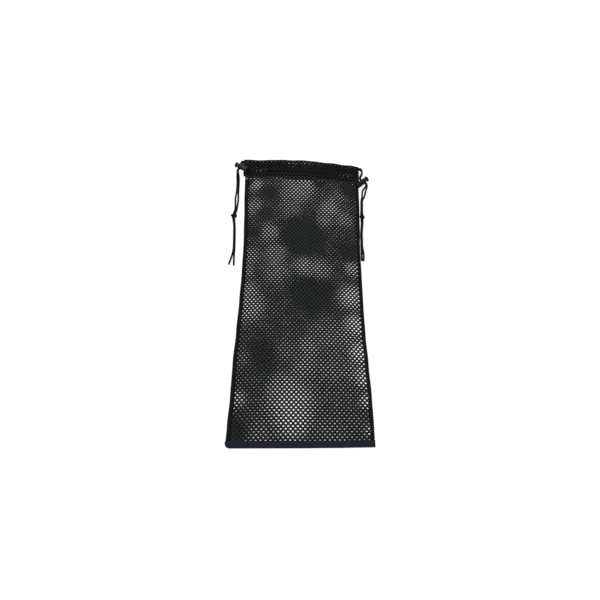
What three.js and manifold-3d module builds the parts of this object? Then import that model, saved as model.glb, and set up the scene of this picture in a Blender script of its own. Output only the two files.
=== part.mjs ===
// Mesh dive gear bag, empty and lying flat, mouth towards +Y. Millimetres, +Z up.
// The origin is under the middle of the bag, on the surface that it lies on.
import * as THREE from 'three';
import * as BufferGeometryUtils from 'three/addons/utils/BufferGeometryUtils.js';
import Module from 'manifold-3d';

const wasm = await Module();
wasm.setup();

// Driving sizes of the bag
const BAG_WIDTH = 303;
const BAG_LENGTH = 707.5;
const CLOTH = 1.0;
const GAP = 0.3;
const PUFF = 11;
const USUAL_FULLNESS = 0.82;
const SIDE_STEEPNESS = 1.5;
const FOOT_RISE_ROWS = 2.2;

// Strips that close the net: side seams, foot hem and mouth casings
const LEFT_SEAM_WIDTH = 10;
const RIGHT_SEAM_WIDTH = 7.5;
const SEAM_STOP = 12;
const HEM_HEIGHT = 14;
const HEM_CORNER_RADIUS = 10;
const CASING_HEIGHT = 45;
const CASING_LEFT = -139.5;
const CASING_RIGHT = 144.5;
const CASING_GRIP = 10;
const CASING_STEP = 4;
const MOUTH_GAPE = 8;
const TUCK_MARGIN = 1.5;
const HEM_GRIP = 7;

// Coarse lattice of gaps that is cut through each net panel
const GAP_COLUMNS = 8;
const GAP_ROWS = 15;
const GAP_SIZE_SHARE = 0.84;
const GAP_SIDES = 6;

// Drawcords, knots and spring cord locks
const CORD_DIAMETER = 3;
const CORD_SIDES = 8;
const CORD_DROP = 6;
const TUNNEL_HEIGHT = CORD_DIAMETER + 2 * GAP;
const KNOT_HEIGHT = 8;
const BARREL_DIAMETER = 13.4;
const BARREL_LENGTH = 27;
const BORE_DIAMETER = 10;
const BORE_CLEARANCE = 0.3;
const BARREL_FLOOR = 6;
const LOCK_LENGTH = 36;
const HEAD_DIAMETER = 14.2;
const HEAD_LENGTH = 5;
const SLOT_FROM_MOUTH = 3.5;
const BUTTON_STROKE = 2.8;
const LOCK_SIDES = 16;

// Sides of the bag: along is the share of the way from foot to mouth, and left and
// right are how far each side stands from the middle line, as shares of BAG_WIDTH
const SIDE_TABLE = [
  { along: 0.00, left: 0.500, right: 0.500 },
  { along: 0.06, left: 0.494, right: 0.500 },
  { along: 0.15, left: 0.482, right: 0.495 },
  { along: 0.25, left: 0.476, right: 0.484 },
  { along: 0.35, left: 0.462, right: 0.472 },
  { along: 0.45, left: 0.450, right: 0.467 },
  { along: 0.55, left: 0.441, right: 0.465 },
  { along: 0.65, left: 0.437, right: 0.463 },
  { along: 0.75, left: 0.441, right: 0.469 },
  { along: 0.85, left: 0.447, right: 0.473 },
  { along: 1.00, left: 0.453, right: 0.474 },
];

// Foot and mouth edges: across is the place as a share of BAG_WIDTH, and foot_rise
// and mouth_drop are how far each edge lies inside BAG_LENGTH, as shares of it
const EDGE_TABLE = [
  { across: -0.51, foot_rise: 0.0000, mouth_drop: 0.0000 },
  { across: -0.25, foot_rise: 0.0003, mouth_drop: 0.0062 },
  { across: 0.00, foot_rise: 0.0005, mouth_drop: 0.0127 },
  { across: 0.25, foot_rise: 0.0014, mouth_drop: 0.0205 },
  { across: 0.40, foot_rise: 0.0026, mouth_drop: 0.0270 },
  { across: 0.51, foot_rise: 0.0034, mouth_drop: 0.0340 },
];

// Soft folds of the upper panel: across and along are the middle as shares of the
// panel, long and wide are its reach as shares of the panel's length and width, turn
// is its lean in degrees, and height is a share of PUFF
const FOLD_TABLE = [
  { across: 0.30, along: 0.78, long: 0.16, wide: 0.16, turn: 20, height: 0.20 },
  { across: 0.66, along: 0.62, long: 0.20, wide: 0.12, turn: -14, height: -0.16 },
  { across: 0.26, along: 0.46, long: 0.18, wide: 0.14, turn: -10, height: -0.15 },
  { across: 0.62, along: 0.34, long: 0.16, wide: 0.20, turn: 30, height: 0.18 },
  { across: 0.40, along: 0.15, long: 0.12, wide: 0.24, turn: 8, height: -0.12 },
];

// Cord locks: tip is the outer end of the button's head on the lock's axis, heading
// and climb turn the axis from the head to the closed end
const LOCKS = {
  left: { tip: [-157.5, 332.7, 15.2], heading: -34, climb: 10 },
  right: { tip: [164.2, 296, 7.9], heading: -135, climb: 7.5 },
};

// Routes of the free cords, chosen by hand: the two strands of a side run from inside
// the casing's end through the lock to the knot, and their tails lie beyond it
const CORD_ROUTES = {
  left_front_strand: [
    [-131.3, 347.2, 8.8], [-135, 347.3, 8.75], [-139.7, 347.1, 8.8], [-143.5, 345.6, 10.2],
    [-144.3, 341.8, 14.1], [-142.6, 336.6, 17.9], [-141, 332.4, 19.3], [-143.6, 328.7, 19.3],
    [-146.1, 325, 19.3], [-148.6, 321.2, 19.3], [-151.1, 317.5, 19.3], [-153.3, 312.8, 18],
    [-153.9, 307.6, 13.6], [-154.4, 302.4, 9.2], [-154.3, 297, 5.2], [-154.2, 291, 2.6],
    [-154.1, 284, 1.6], [-154.1, 276, 1.5], [-154.2, 267, 1.5], [-154.8, 258, 1.5],
    [-156, 248, 1.5], [-156.5, 240, 1.5], [-156.1, 230, 1.5], [-155.6, 221, 1.5],
    [-155.9, 211, 1.5], [-157.7, 203.4, 1.8], [-159.4, 197.1, 2.6],
  ],
  left_back_strand: [
    [-131.3, 347.2, 2.8], [-135, 347.3, 2.8], [-139.9, 347, 2.8], [-144.9, 346, 3.6],
    [-147.6, 342.6, 7.6], [-145.6, 337.8, 12.3], [-142.4, 334.2, 15], [-140.6, 332.1, 16.1],
    [-143.1, 328.4, 16.1], [-145.6, 324.7, 16.1], [-148.1, 320.9, 16.1], [-150.6, 317.2, 16.1],
    [-152.1, 313.6, 13.8], [-151.3, 308.9, 10.3], [-150.4, 302.6, 6], [-150.2, 297, 3.4],
    [-150.1, 291.4, 1.9], [-150.1, 285, 1.5], [-150.1, 276, 1.5], [-150.2, 267, 1.5],
    [-150.2, 258, 1.5], [-149.8, 248, 1.5], [-149.6, 240, 1.5], [-149.9, 230, 1.5],
    [-150.9, 221, 1.5], [-151.9, 211, 1.5], [-153.6, 203.4, 1.8], [-155.4, 197.1, 2.6],
  ],
  left_front_tail: [
    [-159.2, 184.5, 4], [-158.2, 178, 4.6], [-156.6, 168, 4.9], [-155.8, 158, 4.9],
    [-155.4, 148, 4.9], [-154.9, 132, 4.9], [-154.5, 117, 4.9], [-154.4, 106, 4.6],
    [-155.1, 98, 3.6], [-156.8, 89, 2.2], [-159, 80, 1.5], [-161.6, 70.5, 1.5], [-164.2, 62, 1.5],
  ],
  left_back_tail: [
    [-156.4, 184.5, 2], [-156, 178, 1.6], [-154.8, 168, 1.5], [-154, 158, 1.5], [-153.6, 148, 1.5],
    [-153, 132, 1.5], [-152.7, 117, 1.5], [-152.6, 106, 1.5], [-152.6, 98, 1.5], [-152.8, 89, 1.5],
    [-152.7, 80, 1.5], [-152.5, 70, 1.5], [-152.3, 59.2, 1.5],
  ],
  right_front_strand: [
    [136.3, 325.9, 8.8], [140, 325.7, 8.75], [144.8, 325.4, 8.8], [149, 324.2, 8.9],
    [151.8, 320.4, 9.2], [152.4, 315, 9.6], [151.4, 309, 10], [149.4, 303.6, 10.6],
    [147.6, 299.4, 11.1], [146.7, 295.8, 11.3], [148, 292.5, 11.4], [151.1, 289.3, 11.4],
    [154.3, 286.1, 11.4], [157.5, 282.9, 11.4], [160.7, 279.8, 11.4], [162.6, 276.2, 10.6],
    [162.8, 271.8, 8.2], [161.6, 266.8, 5], [159.8, 261.4, 2.6], [158.4, 256, 1.6], [157, 250, 1.5],
    [154.6, 243.6, 2.4], [151.8, 238, 4], [150, 231, 4.9], [149.6, 222, 4.9], [149.2, 212, 4.9],
    [148.8, 203, 4.4], [149.1, 192.2, 3.5],
  ],
  right_back_strand: [
    [136.3, 325.9, 2.8], [140, 325.7, 2.8], [144.8, 325.5, 2.8], [149.6, 324.4, 2.9],
    [152.6, 320.6, 3.3], [153.2, 315, 3.9], [152.2, 309.2, 4.9], [150, 303.8, 6.1],
    [148.2, 299.6, 7.2], [147, 295.8, 8], [147.7, 292.2, 8.1], [150.8, 289, 8.1], [154, 285.8, 8.1],
    [157.2, 282.6, 8.1], [160.4, 279.5, 8], [160.9, 275.6, 6.6], [158.4, 271.6, 4.2],
    [154.9, 267.6, 2.4], [152.3, 262.8, 1.6], [151.2, 257, 1.5], [151, 250, 1.5], [150.2, 244, 1.5],
    [148.8, 238, 1.5], [148, 231, 1.5], [147.6, 222, 1.5], [147.2, 212, 1.5], [146.4, 203, 1.6],
    [145.9, 192.4, 2.2],
  ],
  right_front_tail: [
    [149, 180.9, 4.1], [148.8, 175, 4.6], [148.1, 168, 4.9], [147.1, 158, 4.9], [146, 148, 4.9],
    [145.3, 138, 4.9], [145.2, 128, 4.9], [145.1, 118, 4.9], [144.9, 108, 4.6], [146.1, 99, 3.4],
    [147.3, 91, 1.9], [147.6, 82, 1.5], [146.4, 70.6, 1.5],
  ],
  right_back_tail: [
    [146.2, 180.9, 1.9], [146.3, 175, 1.5], [146.1, 168, 1.5], [145.2, 158, 1.5], [144.2, 148, 1.5],
    [143.6, 138, 1.5], [143.5, 128, 1.5], [143.3, 118, 1.5], [143, 108, 1.5], [142.9, 98, 1.5],
    [142.8, 89, 1.5], [142.7, 80, 1.5], [142.6, 71.2, 1.5],
  ],
};
const STRAND_STEPS = 26;
const TAIL_STEPS = 7;
const HIDDEN_STEPS = 6;

// Middles of the knots on the surface, and their size there
const KNOTS = {
  left: { x: -157.8, y: 190.8, width: 14, length: 12 },
  right: { x: 147.9, y: 186.6, width: 11, length: 10.5 },
};

// Looks of the pieces
const NET = { color: 0x17191d, roughness: 0.85, metalness: 0 };
const TAPE = { color: 0x212430, roughness: 0.8, metalness: 0 };
const CORD = { color: 0x0c0d0f, roughness: 0.75, metalness: 0 };
const PLASTIC = { color: 0x141518, roughness: 0.35, metalness: 0 };

const bag = new THREE.Group();

function addPiece(name, geometry, look) {
  const piece = new THREE.Mesh(geometry, new THREE.MeshStandardMaterial(look));
  piece.name = name;
  bag.add(piece);
  return piece;
}

// Reads a column of a table at a place between its rows
function tableValue(table, key, column, place) {
  const last = table.length - 1;
  if (place <= table[0][key]) {
    return table[0][column];
  }
  for (let i = 0; i < last; i += 1) {
    const low = table[i];
    const high = table[i + 1];
    if (place <= high[key]) {
      const share = (place - low[key]) / (high[key] - low[key]);
      const smooth = share * share * (3 - 2 * share);
      return low[column] + (high[column] - low[column]) * smooth;
    }
  }
  return table[last][column];
}

const footY = (x) => BAG_LENGTH * (tableValue(EDGE_TABLE, 'across', 'foot_rise', x / BAG_WIDTH) - 0.5);
const mouthY = (x) => BAG_LENGTH * (0.5 - tableValue(EDGE_TABLE, 'across', 'mouth_drop', x / BAG_WIDTH));
const casingFootY = (x) => mouthY(x) - CASING_HEIGHT;
const leftX = (along) => -BAG_WIDTH * tableValue(SIDE_TABLE, 'along', 'left', along);
const rightX = (along) => BAG_WIDTH * tableValue(SIDE_TABLE, 'along', 'right', along);

// Heights of the cloth layers where a strip is folded round both panels' edges
const BACK_EDGE_Z = CLOTH + GAP;
const FRONT_EDGE_Z = BACK_EDGE_Z + CLOTH + GAP;
const STRIP_TOP_Z = FRONT_EDGE_Z + CLOTH + GAP + CLOTH;
const CASING_THICKNESS = 2 * CLOTH + TUNNEL_HEIGHT;
const GRIP_THICKNESS = 3 * CLOTH + 2 * GAP;

// How far the upper casing stands over the lower one: most in the middle of the mouth
function gape(x) {
  const middle = (CASING_LEFT + CASING_RIGHT) / 2;
  const share = (x - middle) / (CASING_RIGHT - CASING_LEFT);
  return MOUTH_GAPE * Math.cos(Math.PI * share) ** 2;
}
const frontCasingZ = (x) => CASING_THICKNESS + GAP + gape(x);
const frontMouthZ = (x) => frontCasingZ(x) + CLOTH + GAP;

// A closed solid from rings of points: ring by ring, capped by the ring's own section
function loftRings(rings, capTriangles) {
  const count = rings[0].length;
  const positions = rings.flat(2);
  const index = [];
  for (let i = 0; i + 1 < rings.length; i += 1) {
    for (let j = 0; j < count; j += 1) {
      const a = i * count + j;
      const b = i * count + (j + 1) % count;
      index.push(a, b, b + count);
      index.push(a, b + count, a + count);
    }
  }
  const end = (rings.length - 1) * count;
  for (const [a, b, c] of capTriangles) {
    index.push(a, c, b);
    index.push(end + a, end + b, end + c);
  }
  const geometry = new THREE.BufferGeometry();
  geometry.setAttribute('position', new THREE.Float32BufferAttribute(positions, 3));
  geometry.setIndex(index);
  return geometry;
}

// A strip swept through a list of stations, each giving the section's points in space
function sweepStrip(section, stations, place) {
  const outline = section.map(([u, v]) => new THREE.Vector2(u, v));
  const caps = THREE.ShapeUtils.triangulateShape(outline, []);
  const rings = stations.map((station) => section.map(([u, v]) => place(station, u, v)));
  return loftRings(rings, caps);
}

// Turns a lofted solid whose faces point inwards the other way out
function facingOut(geometry) {
  const points = geometry.getAttribute('position');
  const index = geometry.getIndex();
  let volume = 0;
  const a = new THREE.Vector3();
  const b = new THREE.Vector3();
  const c = new THREE.Vector3();
  for (let i = 0; i < index.count; i += 3) {
    a.fromBufferAttribute(points, index.getX(i));
    b.fromBufferAttribute(points, index.getX(i + 1));
    c.fromBufferAttribute(points, index.getX(i + 2));
    volume += a.dot(b.cross(c));
  }
  if (volume < 0) {
    for (let i = 0; i < index.count; i += 3) {
      const swap = index.getX(i + 1);
      index.setX(i + 1, index.getX(i + 2));
      index.setX(i + 2, swap);
    }
  }
  return geometry;
}

// Rows of the panels: a function of x for each, from the foot's tuck to the mouth's
const fieldFootY = (x) => footY(x) + HEM_HEIGHT + TUCK_MARGIN;
const fieldMouthY = (x) => casingFootY(x) - SEAM_STOP;
const panelRows = [(x) => footY(x) + HEM_HEIGHT - HEM_GRIP];
for (let i = 0; i <= GAP_ROWS; i += 1) {
  panelRows.push((x) => fieldFootY(x) + (fieldMouthY(x) - fieldFootY(x)) * i / GAP_ROWS);
}
panelRows.push((x) => fieldMouthY(x) + GAP);
panelRows.push((x) => casingFootY(x) - TUCK_MARGIN);
panelRows.push((x) => casingFootY(x) + CASING_GRIP - 2 * GAP);
const FIELD_FIRST_ROW = 1;
const FIELD_LAST_ROW = FIELD_FIRST_ROW + GAP_ROWS;
const TOP_ROW = FIELD_LAST_ROW + 1;
const MOUTH_ROW = TOP_ROW + 1;

// Share of the way from foot to mouth of each row, which places the sides
const rowAlong = panelRows.map((row) => row(0) / BAG_LENGTH + 0.5);

// Columns of the panels across a row, from tucked edge to tucked edge
function rowPoints(row) {
  const left = leftX(rowAlong[row]);
  const right = rightX(rowAlong[row]);
  const inner = left + LEFT_SEAM_WIDTH + TUCK_MARGIN;
  const outer = right - RIGHT_SEAM_WIDTH - TUCK_MARGIN;
  const xs = [left + CLOTH + GAP];
  for (let i = 0; i <= GAP_COLUMNS; i += 1) {
    xs.push(inner + (outer - inner) * i / GAP_COLUMNS);
  }
  xs.push(right - CLOTH - GAP);
  return xs.map((x) => [x, panelRows[row](x)]);
}

// Height of the soft folds at a place of the panel
function foldHeight(across, along) {
  let height = 0;
  for (const fold of FOLD_TABLE) {
    const turn = THREE.MathUtils.degToRad(fold.turn);
    const du = across - fold.across;
    const dv = along - fold.along;
    const u = (du * Math.cos(turn) + dv * Math.sin(turn)) / fold.wide;
    const v = (dv * Math.cos(turn) - du * Math.sin(turn)) / fold.long;
    height += fold.height * Math.exp(-u * u - v * v);
  }
  return height;
}

// The upper panel stands off the lower one: flat in the strips, and full within a cell
// or two of them
function frontHeight(column, row) {
  const inField = column >= 1 && column <= GAP_COLUMNS + 1;
  if (!inField || row <= FIELD_FIRST_ROW) {
    return 0;
  }
  const across = (column - 1) / GAP_COLUMNS;
  const along = Math.min(1, (row - FIELD_FIRST_ROW) / GAP_ROWS);
  const side = Math.min(1, Math.sin(Math.PI * across) * SIDE_STEEPNESS);
  const foot = Math.min(1, along * GAP_ROWS / FOOT_RISE_ROWS);
  const soft = Math.sin(side * Math.PI / 2) * Math.sin(foot * Math.PI / 2);
  return PUFF * soft * (USUAL_FULLNESS + foldHeight(across, along));
}

// A panel's wall of even thickness from some of its rows, pierced by every second cell
// of its field
function buildPanel(surfaceZ, rows) {
  const positions = [];
  const top = [];
  const addPoint = (x, y, z) => {
    positions.push(x, y, z);
    return positions.length / 3 - 1;
  };
  const grid = rows.map((row) => rowPoints(row).map(([x, y], c) => {
    const z = surfaceZ(x, c, row);
    return { low: addPoint(x, y, z), high: addPoint(x, y, z + CLOTH), at: [x, y, z] };
  }));
  const index = [];
  const face = (a, b, c) => {
    index.push(a.high, b.high, c.high);
    index.push(a.low, c.low, b.low);
  };
  const wall = (a, b) => {
    index.push(a.low, b.low, b.high);
    index.push(a.low, b.high, a.high);
  };
  const columns = grid[0].length;
  for (let r = 0; r + 1 < grid.length; r += 1) {
    for (let c = 0; c + 1 < columns; c += 1) {
      const corners = [grid[r][c], grid[r][c + 1], grid[r + 1][c + 1], grid[r + 1][c]];
      const inColumns = c >= 1 && c <= GAP_COLUMNS;
      const inRows = rows[r] >= FIELD_FIRST_ROW && rows[r] < FIELD_LAST_ROW;
      if (inColumns && inRows && (rows[r] + c) % 2 === 1) {
        pierceCell(corners, addPoint, face, wall);
      } else {
        face(corners[0], corners[1], corners[2]);
        face(corners[0], corners[2], corners[3]);
      }
    }
  }
  const last = grid.length - 1;
  for (let c = 0; c + 1 < columns; c += 1) {
    wall(grid[0][c], grid[0][c + 1]);
    wall(grid[last][c + 1], grid[last][c]);
  }
  for (let r = 0; r < last; r += 1) {
    wall(grid[r + 1][0], grid[r][0]);
    wall(grid[r][columns - 1], grid[r + 1][columns - 1]);
  }
  const geometry = new THREE.BufferGeometry();
  geometry.setAttribute('position', new THREE.Float32BufferAttribute(positions, 3));
  geometry.setIndex(index);
  return geometry;
}

// Cuts a six-sided gap through a cell: a ring of faces from the corners to the gap
function pierceCell(corners, addPoint, face, wall) {
  const at = (u, v) => [0, 1, 2].map((k) => {
    const low = corners[0].at[k] * (1 - u) + corners[1].at[k] * u;
    const high = corners[3].at[k] * (1 - u) + corners[2].at[k] * u;
    return low * (1 - v) + high * v;
  });
  const rim = [];
  for (let i = 0; i < GAP_SIDES; i += 1) {
    const angle = 2 * Math.PI * (i - 0.5) / GAP_SIDES - Math.PI / 2;
    const u = 0.5 + 0.5 * GAP_SIZE_SHARE * Math.cos(angle);
    const v = 0.5 + 0.5 * GAP_SIZE_SHARE * Math.sin(angle);
    const [x, y, z] = at(u, v);
    rim.push({ low: addPoint(x, y, z), high: addPoint(x, y, z + CLOTH), turn: angle });
  }
  const cornerTurns = corners.map((corner, i) => -0.75 * Math.PI + i * Math.PI / 2);
  let c = 0;
  let g = 0;
  while (c < corners.length || g < GAP_SIDES) {
    const nextCorner = c < corners.length ? cornerTurns[c] + Math.PI / 2 : Infinity;
    const nextRim = g < GAP_SIDES ? rim[g].turn + 2 * Math.PI / GAP_SIDES : Infinity;
    const corner = corners[c % corners.length];
    const gap = rim[g % GAP_SIDES];
    if (nextCorner <= nextRim) {
      face(corner, corners[(c + 1) % corners.length], gap);
      c += 1;
    } else {
      face(corner, rim[(g + 1) % GAP_SIDES], gap);
      g += 1;
    }
  }
  for (let i = 0; i < GAP_SIDES; i += 1) {
    wall(rim[(i + 1) % GAP_SIDES], rim[i]);
  }
}

function backZ(x, column, row) {
  const inField = column >= 2 && column <= GAP_COLUMNS;
  const inRows = row > FIELD_FIRST_ROW && row < MOUTH_ROW;
  return inField && inRows ? 0 : BACK_EDGE_Z;
}

function frontZ(x, column, row) {
  return row >= MOUTH_ROW ? frontMouthZ(x) : FRONT_EDGE_Z + frontHeight(column, row);
}

// The upper panel's strip next to the casing is a solid of its own, past a fine gap, so
// that each of the two keeps to its own arch
const allRows = panelRows.map((row, r) => r);
addPiece('back_panel', buildPanel(backZ, allRows.filter((r) => r !== TOP_ROW)), NET);
addPiece('front_panel', buildPanel(frontZ, allRows.filter((r) => r < TOP_ROW)), NET);
addPiece('front_panel_top', buildPanel(frontZ, allRows.filter((r) => r >= TOP_ROW)), NET);

// Folded strip round both panels' edges: a U section, its open side inwards
function foldSection(width) {
  return [
    [0, 0],
    [width, 0],
    [width, CLOTH],
    [CLOTH, CLOTH],
    [CLOTH, STRIP_TOP_Z - CLOTH],
    [width, STRIP_TOP_Z - CLOTH],
    [width, STRIP_TOP_Z],
    [0, STRIP_TOP_Z],
  ];
}

// Side seams start 0.3 mm above the hem and end below the casings
function buildSeam(sideX, width, inwards) {
  const stations = [(x) => footY(x) + HEM_HEIGHT + GAP];
  for (let r = FIELD_FIRST_ROW; r <= FIELD_LAST_ROW; r += 1) {
    stations.push(panelRows[r]);
  }
  return facingOut(sweepStrip(foldSection(width), stations, (station, u, v) => {
    const along = station(0) / BAG_LENGTH + 0.5;
    const x = sideX(along) + inwards * u;
    return [x, station(x), v];
  }));
}
addPiece('left_seam', buildSeam(leftX, LEFT_SEAM_WIDTH, 1), NET);
addPiece('right_seam', buildSeam(rightX, RIGHT_SEAM_WIDTH, -1), NET);

// Foot hem: the same fold along the foot edge, its left corner rounded
function buildHem() {
  const left = leftX(0);
  const right = rightX(0);
  const xs = [0, 0.13, 0.5, 1].map((share) => left + HEM_CORNER_RADIUS * share);
  const flat = GAP_COLUMNS;
  for (let i = 1; i <= flat; i += 1) {
    xs.push(left + HEM_CORNER_RADIUS + (right - left - HEM_CORNER_RADIUS) * i / flat);
  }
  const roundedRise = (x) => {
    const short = HEM_CORNER_RADIUS - (x - left);
    if (short <= 0) {
      return 0;
    }
    return HEM_CORNER_RADIUS - Math.sqrt(HEM_CORNER_RADIUS ** 2 - short ** 2);
  };
  return facingOut(sweepStrip(foldSection(HEM_HEIGHT), xs, (x, u, v) => {
    const rise = roundedRise(x) * Math.max(0, 1 - u / HEM_HEIGHT);
    return [x, footY(x) + u + rise, v];
  }));
}
addPiece('bottom_hem', buildHem(), TAPE);

// Mouth casing: a folded channel, gripping its panel's edge below the cord's tunnel
const CASING_SECTION = [
  [0, 0],
  [CASING_HEIGHT, 0],
  [CASING_HEIGHT, CASING_THICKNESS],
  [CASING_GRIP + CASING_STEP, CASING_THICKNESS],
  [CASING_GRIP, GRIP_THICKNESS],
  [0, GRIP_THICKNESS],
  [0, GRIP_THICKNESS - CLOTH],
  [CASING_GRIP, GRIP_THICKNESS - CLOTH],
  [CASING_GRIP + CASING_STEP, CASING_THICKNESS - CLOTH],
  [CASING_HEIGHT - CLOTH, CASING_THICKNESS - CLOTH],
  [CASING_HEIGHT - CLOTH, CLOTH],
  [0, CLOTH],
];

function buildCasing(baseZ) {
  const xs = [CASING_LEFT];
  const inner = rowPoints(MOUTH_ROW).map(([x]) => x);
  xs.push(...inner);
  xs.push(CASING_RIGHT);
  return facingOut(sweepStrip(CASING_SECTION, xs, (x, u, v) => [x, casingFootY(x) + u, baseZ(x) + v]));
}
addPiece('back_casing', buildCasing(() => 0), NET);
addPiece('front_casing', buildCasing(frontCasingZ), NET);

// Where the cords run in the tunnels: height above the casing's own foot
const TUNNEL_MIDDLE = CLOTH + TUNNEL_HEIGHT / 2;

// A round cord: a section of eight sides along a curve through the route's points
function buildCord(points, steps) {
  const route = new THREE.CatmullRomCurve3(points.map((p) => new THREE.Vector3(...p)), false, 'centripetal');
  const section = new THREE.Shape();
  for (let i = 0; i < CORD_SIDES; i += 1) {
    const angle = 2 * Math.PI * (i + 0.5) / CORD_SIDES;
    const x = CORD_DIAMETER / 2 * Math.cos(angle);
    const y = CORD_DIAMETER / 2 * Math.sin(angle);
    if (i === 0) {
      section.moveTo(x, y);
    } else {
      section.lineTo(x, y);
    }
  }
  section.closePath();
  const options = { steps, bevelEnabled: false, extrudePath: route, curveSegments: 1 };
  return new THREE.ExtrudeGeometry(section, options);
}

// The cords' stretches inside the casings, along the mouth's slope and gape
const CORD_STATIONS = [-0.94, -0.6, -0.2, 0.2, 0.6, 0.94];
function buildHiddenCord(baseZ) {
  const middle = (CASING_LEFT + CASING_RIGHT) / 2;
  const half = (CASING_RIGHT - CASING_LEFT) / 2;
  const points = CORD_STATIONS.map((share) => {
    const x = middle + half * share;
    return [x, mouthY(x) - CORD_DROP, baseZ(x) + TUNNEL_MIDDLE];
  });
  return buildCord(points, HIDDEN_STEPS);
}
addPiece('back_cord', buildHiddenCord(() => 0), CORD);
addPiece('front_cord', buildHiddenCord(frontCasingZ), CORD);

for (const [name, points] of Object.entries(CORD_ROUTES)) {
  addPiece(name, buildCord(points, name.endsWith('strand') ? STRAND_STEPS : TAIL_STEPS), CORD);
}

// A knot: a rounded lump of cord that rests on the surface
for (const [side, { x, y, width, length }] of Object.entries(KNOTS)) {
  const lump = new THREE.SphereGeometry(0.5, 12, 8);
  lump.rotateX(Math.PI / 2);
  lump.scale(width, length, KNOT_HEIGHT);
  addPiece(`${side}_knot`, lump, CORD).position.set(x, y, KNOT_HEIGHT / 2);
}

// Changes between three.js geometry and manifold solids, for the locks' cross slots
function toSolid(geometry) {
  const bare = geometry.clone();
  bare.deleteAttribute('normal');
  bare.deleteAttribute('uv');
  const merged = BufferGeometryUtils.mergeVertices(bare);
  return new wasm.Manifold(new wasm.Mesh({
    numProp: 3,
    vertProperties: merged.getAttribute('position').array,
    triVerts: Uint32Array.from(merged.getIndex().array),
  }));
}

function toGeometry(solid) {
  const mesh = solid.getMesh();
  const geometry = new THREE.BufferGeometry();
  geometry.setAttribute('position', new THREE.BufferAttribute(mesh.vertProperties, 3));
  geometry.setIndex(new THREE.BufferAttribute(mesh.triVerts, 1));
  return geometry;
}

// Lock sizes along its own axis, from the tip of the head at 0 to the closed end
const BARREL_MOUTH = LOCK_LENGTH - BARREL_LENGTH;
const SLOT_LENGTH = CORD_DIAMETER + 2 * GAP + BUTTON_STROKE;
const SLOT_HEIGHT = 2 * CORD_DIAMETER + 3 * GAP;
const SLOT_START = BARREL_MOUTH + SLOT_FROM_MOUTH;
const STEM_DIAMETER = BORE_DIAMETER - 2 * BORE_CLEARANCE;
const STEM_PAST_SLOT = 3;
const EDGE_ROUND = 1.4;

// Turns a profile of radius and height into a round solid about the lock's axis
function turned(profile) {
  const outline = profile.map(([radius, height]) => new THREE.Vector2(radius, height));
  const lathe = new THREE.LatheGeometry(outline, LOCK_SIDES);
  return lathe.rotateX(Math.PI / 2);
}

function crossSlot(start) {
  const slot = new THREE.BoxGeometry(SLOT_HEIGHT, 2 * BARREL_DIAMETER, SLOT_LENGTH);
  return toSolid(slot.translate(0, 0, start + SLOT_LENGTH / 2));
}

function buildBarrel() {
  const radius = BARREL_DIAMETER / 2;
  const boreEnd = LOCK_LENGTH - BARREL_FLOOR;
  const shell = turned([
    [0, boreEnd],
    [BORE_DIAMETER / 2, boreEnd],
    [BORE_DIAMETER / 2, BARREL_MOUTH],
    [radius, BARREL_MOUTH],
    [radius, LOCK_LENGTH - EDGE_ROUND],
    [radius - EDGE_ROUND, LOCK_LENGTH],
    [0, LOCK_LENGTH],
  ]);
  return toGeometry(toSolid(shell).subtract(crossSlot(SLOT_START)));
}

function buildButton() {
  const radius = HEAD_DIAMETER / 2;
  const stem = STEM_DIAMETER / 2;
  const slotAtRest = SLOT_START - BUTTON_STROKE;
  const plunger = turned([
    [0, 0],
    [radius - EDGE_ROUND, 0],
    [radius, EDGE_ROUND],
    [stem, HEAD_LENGTH],
    [stem, slotAtRest + SLOT_LENGTH + STEM_PAST_SLOT],
    [0, slotAtRest + SLOT_LENGTH + STEM_PAST_SLOT],
  ]);
  return toGeometry(toSolid(plunger).subtract(crossSlot(slotAtRest)));
}

// Each lock stands in a group whose Z runs along the lock's axis
for (const [side, { tip, heading, climb }] of Object.entries(LOCKS)) {
  const turn = THREE.MathUtils.degToRad(heading);
  const lift = THREE.MathUtils.degToRad(climb);
  const flat = Math.cos(lift);
  const axis = new THREE.Vector3(flat * Math.cos(turn), flat * Math.sin(turn), Math.sin(lift));
  const across = new THREE.Vector3(-Math.sin(turn), Math.cos(turn), 0);
  const up = new THREE.Vector3().crossVectors(across, axis).negate();
  const lock = new THREE.Group();
  lock.setRotationFromMatrix(new THREE.Matrix4().makeBasis(up, across.clone().negate(), axis));
  lock.position.set(...tip);
  for (const [name, geometry] of [['body', buildBarrel()], ['button', buildButton()]]) {
    const piece = new THREE.Mesh(geometry, new THREE.MeshStandardMaterial(PLASTIC));
    piece.name = `${side}_lock_${name}`;
    lock.add(piece);
  }
  bag.add(lock);
}

export default bag;
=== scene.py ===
"""An empty drawstring bag of black net, lying flat on a pale floor, mouth away from the camera.

Run as a script. Lengths are in metres, +Z is up and +Y runs from the bag's foot to its mouth.
"""
import math

import bpy
import numpy as np
from mathutils import Matrix, Vector


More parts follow.
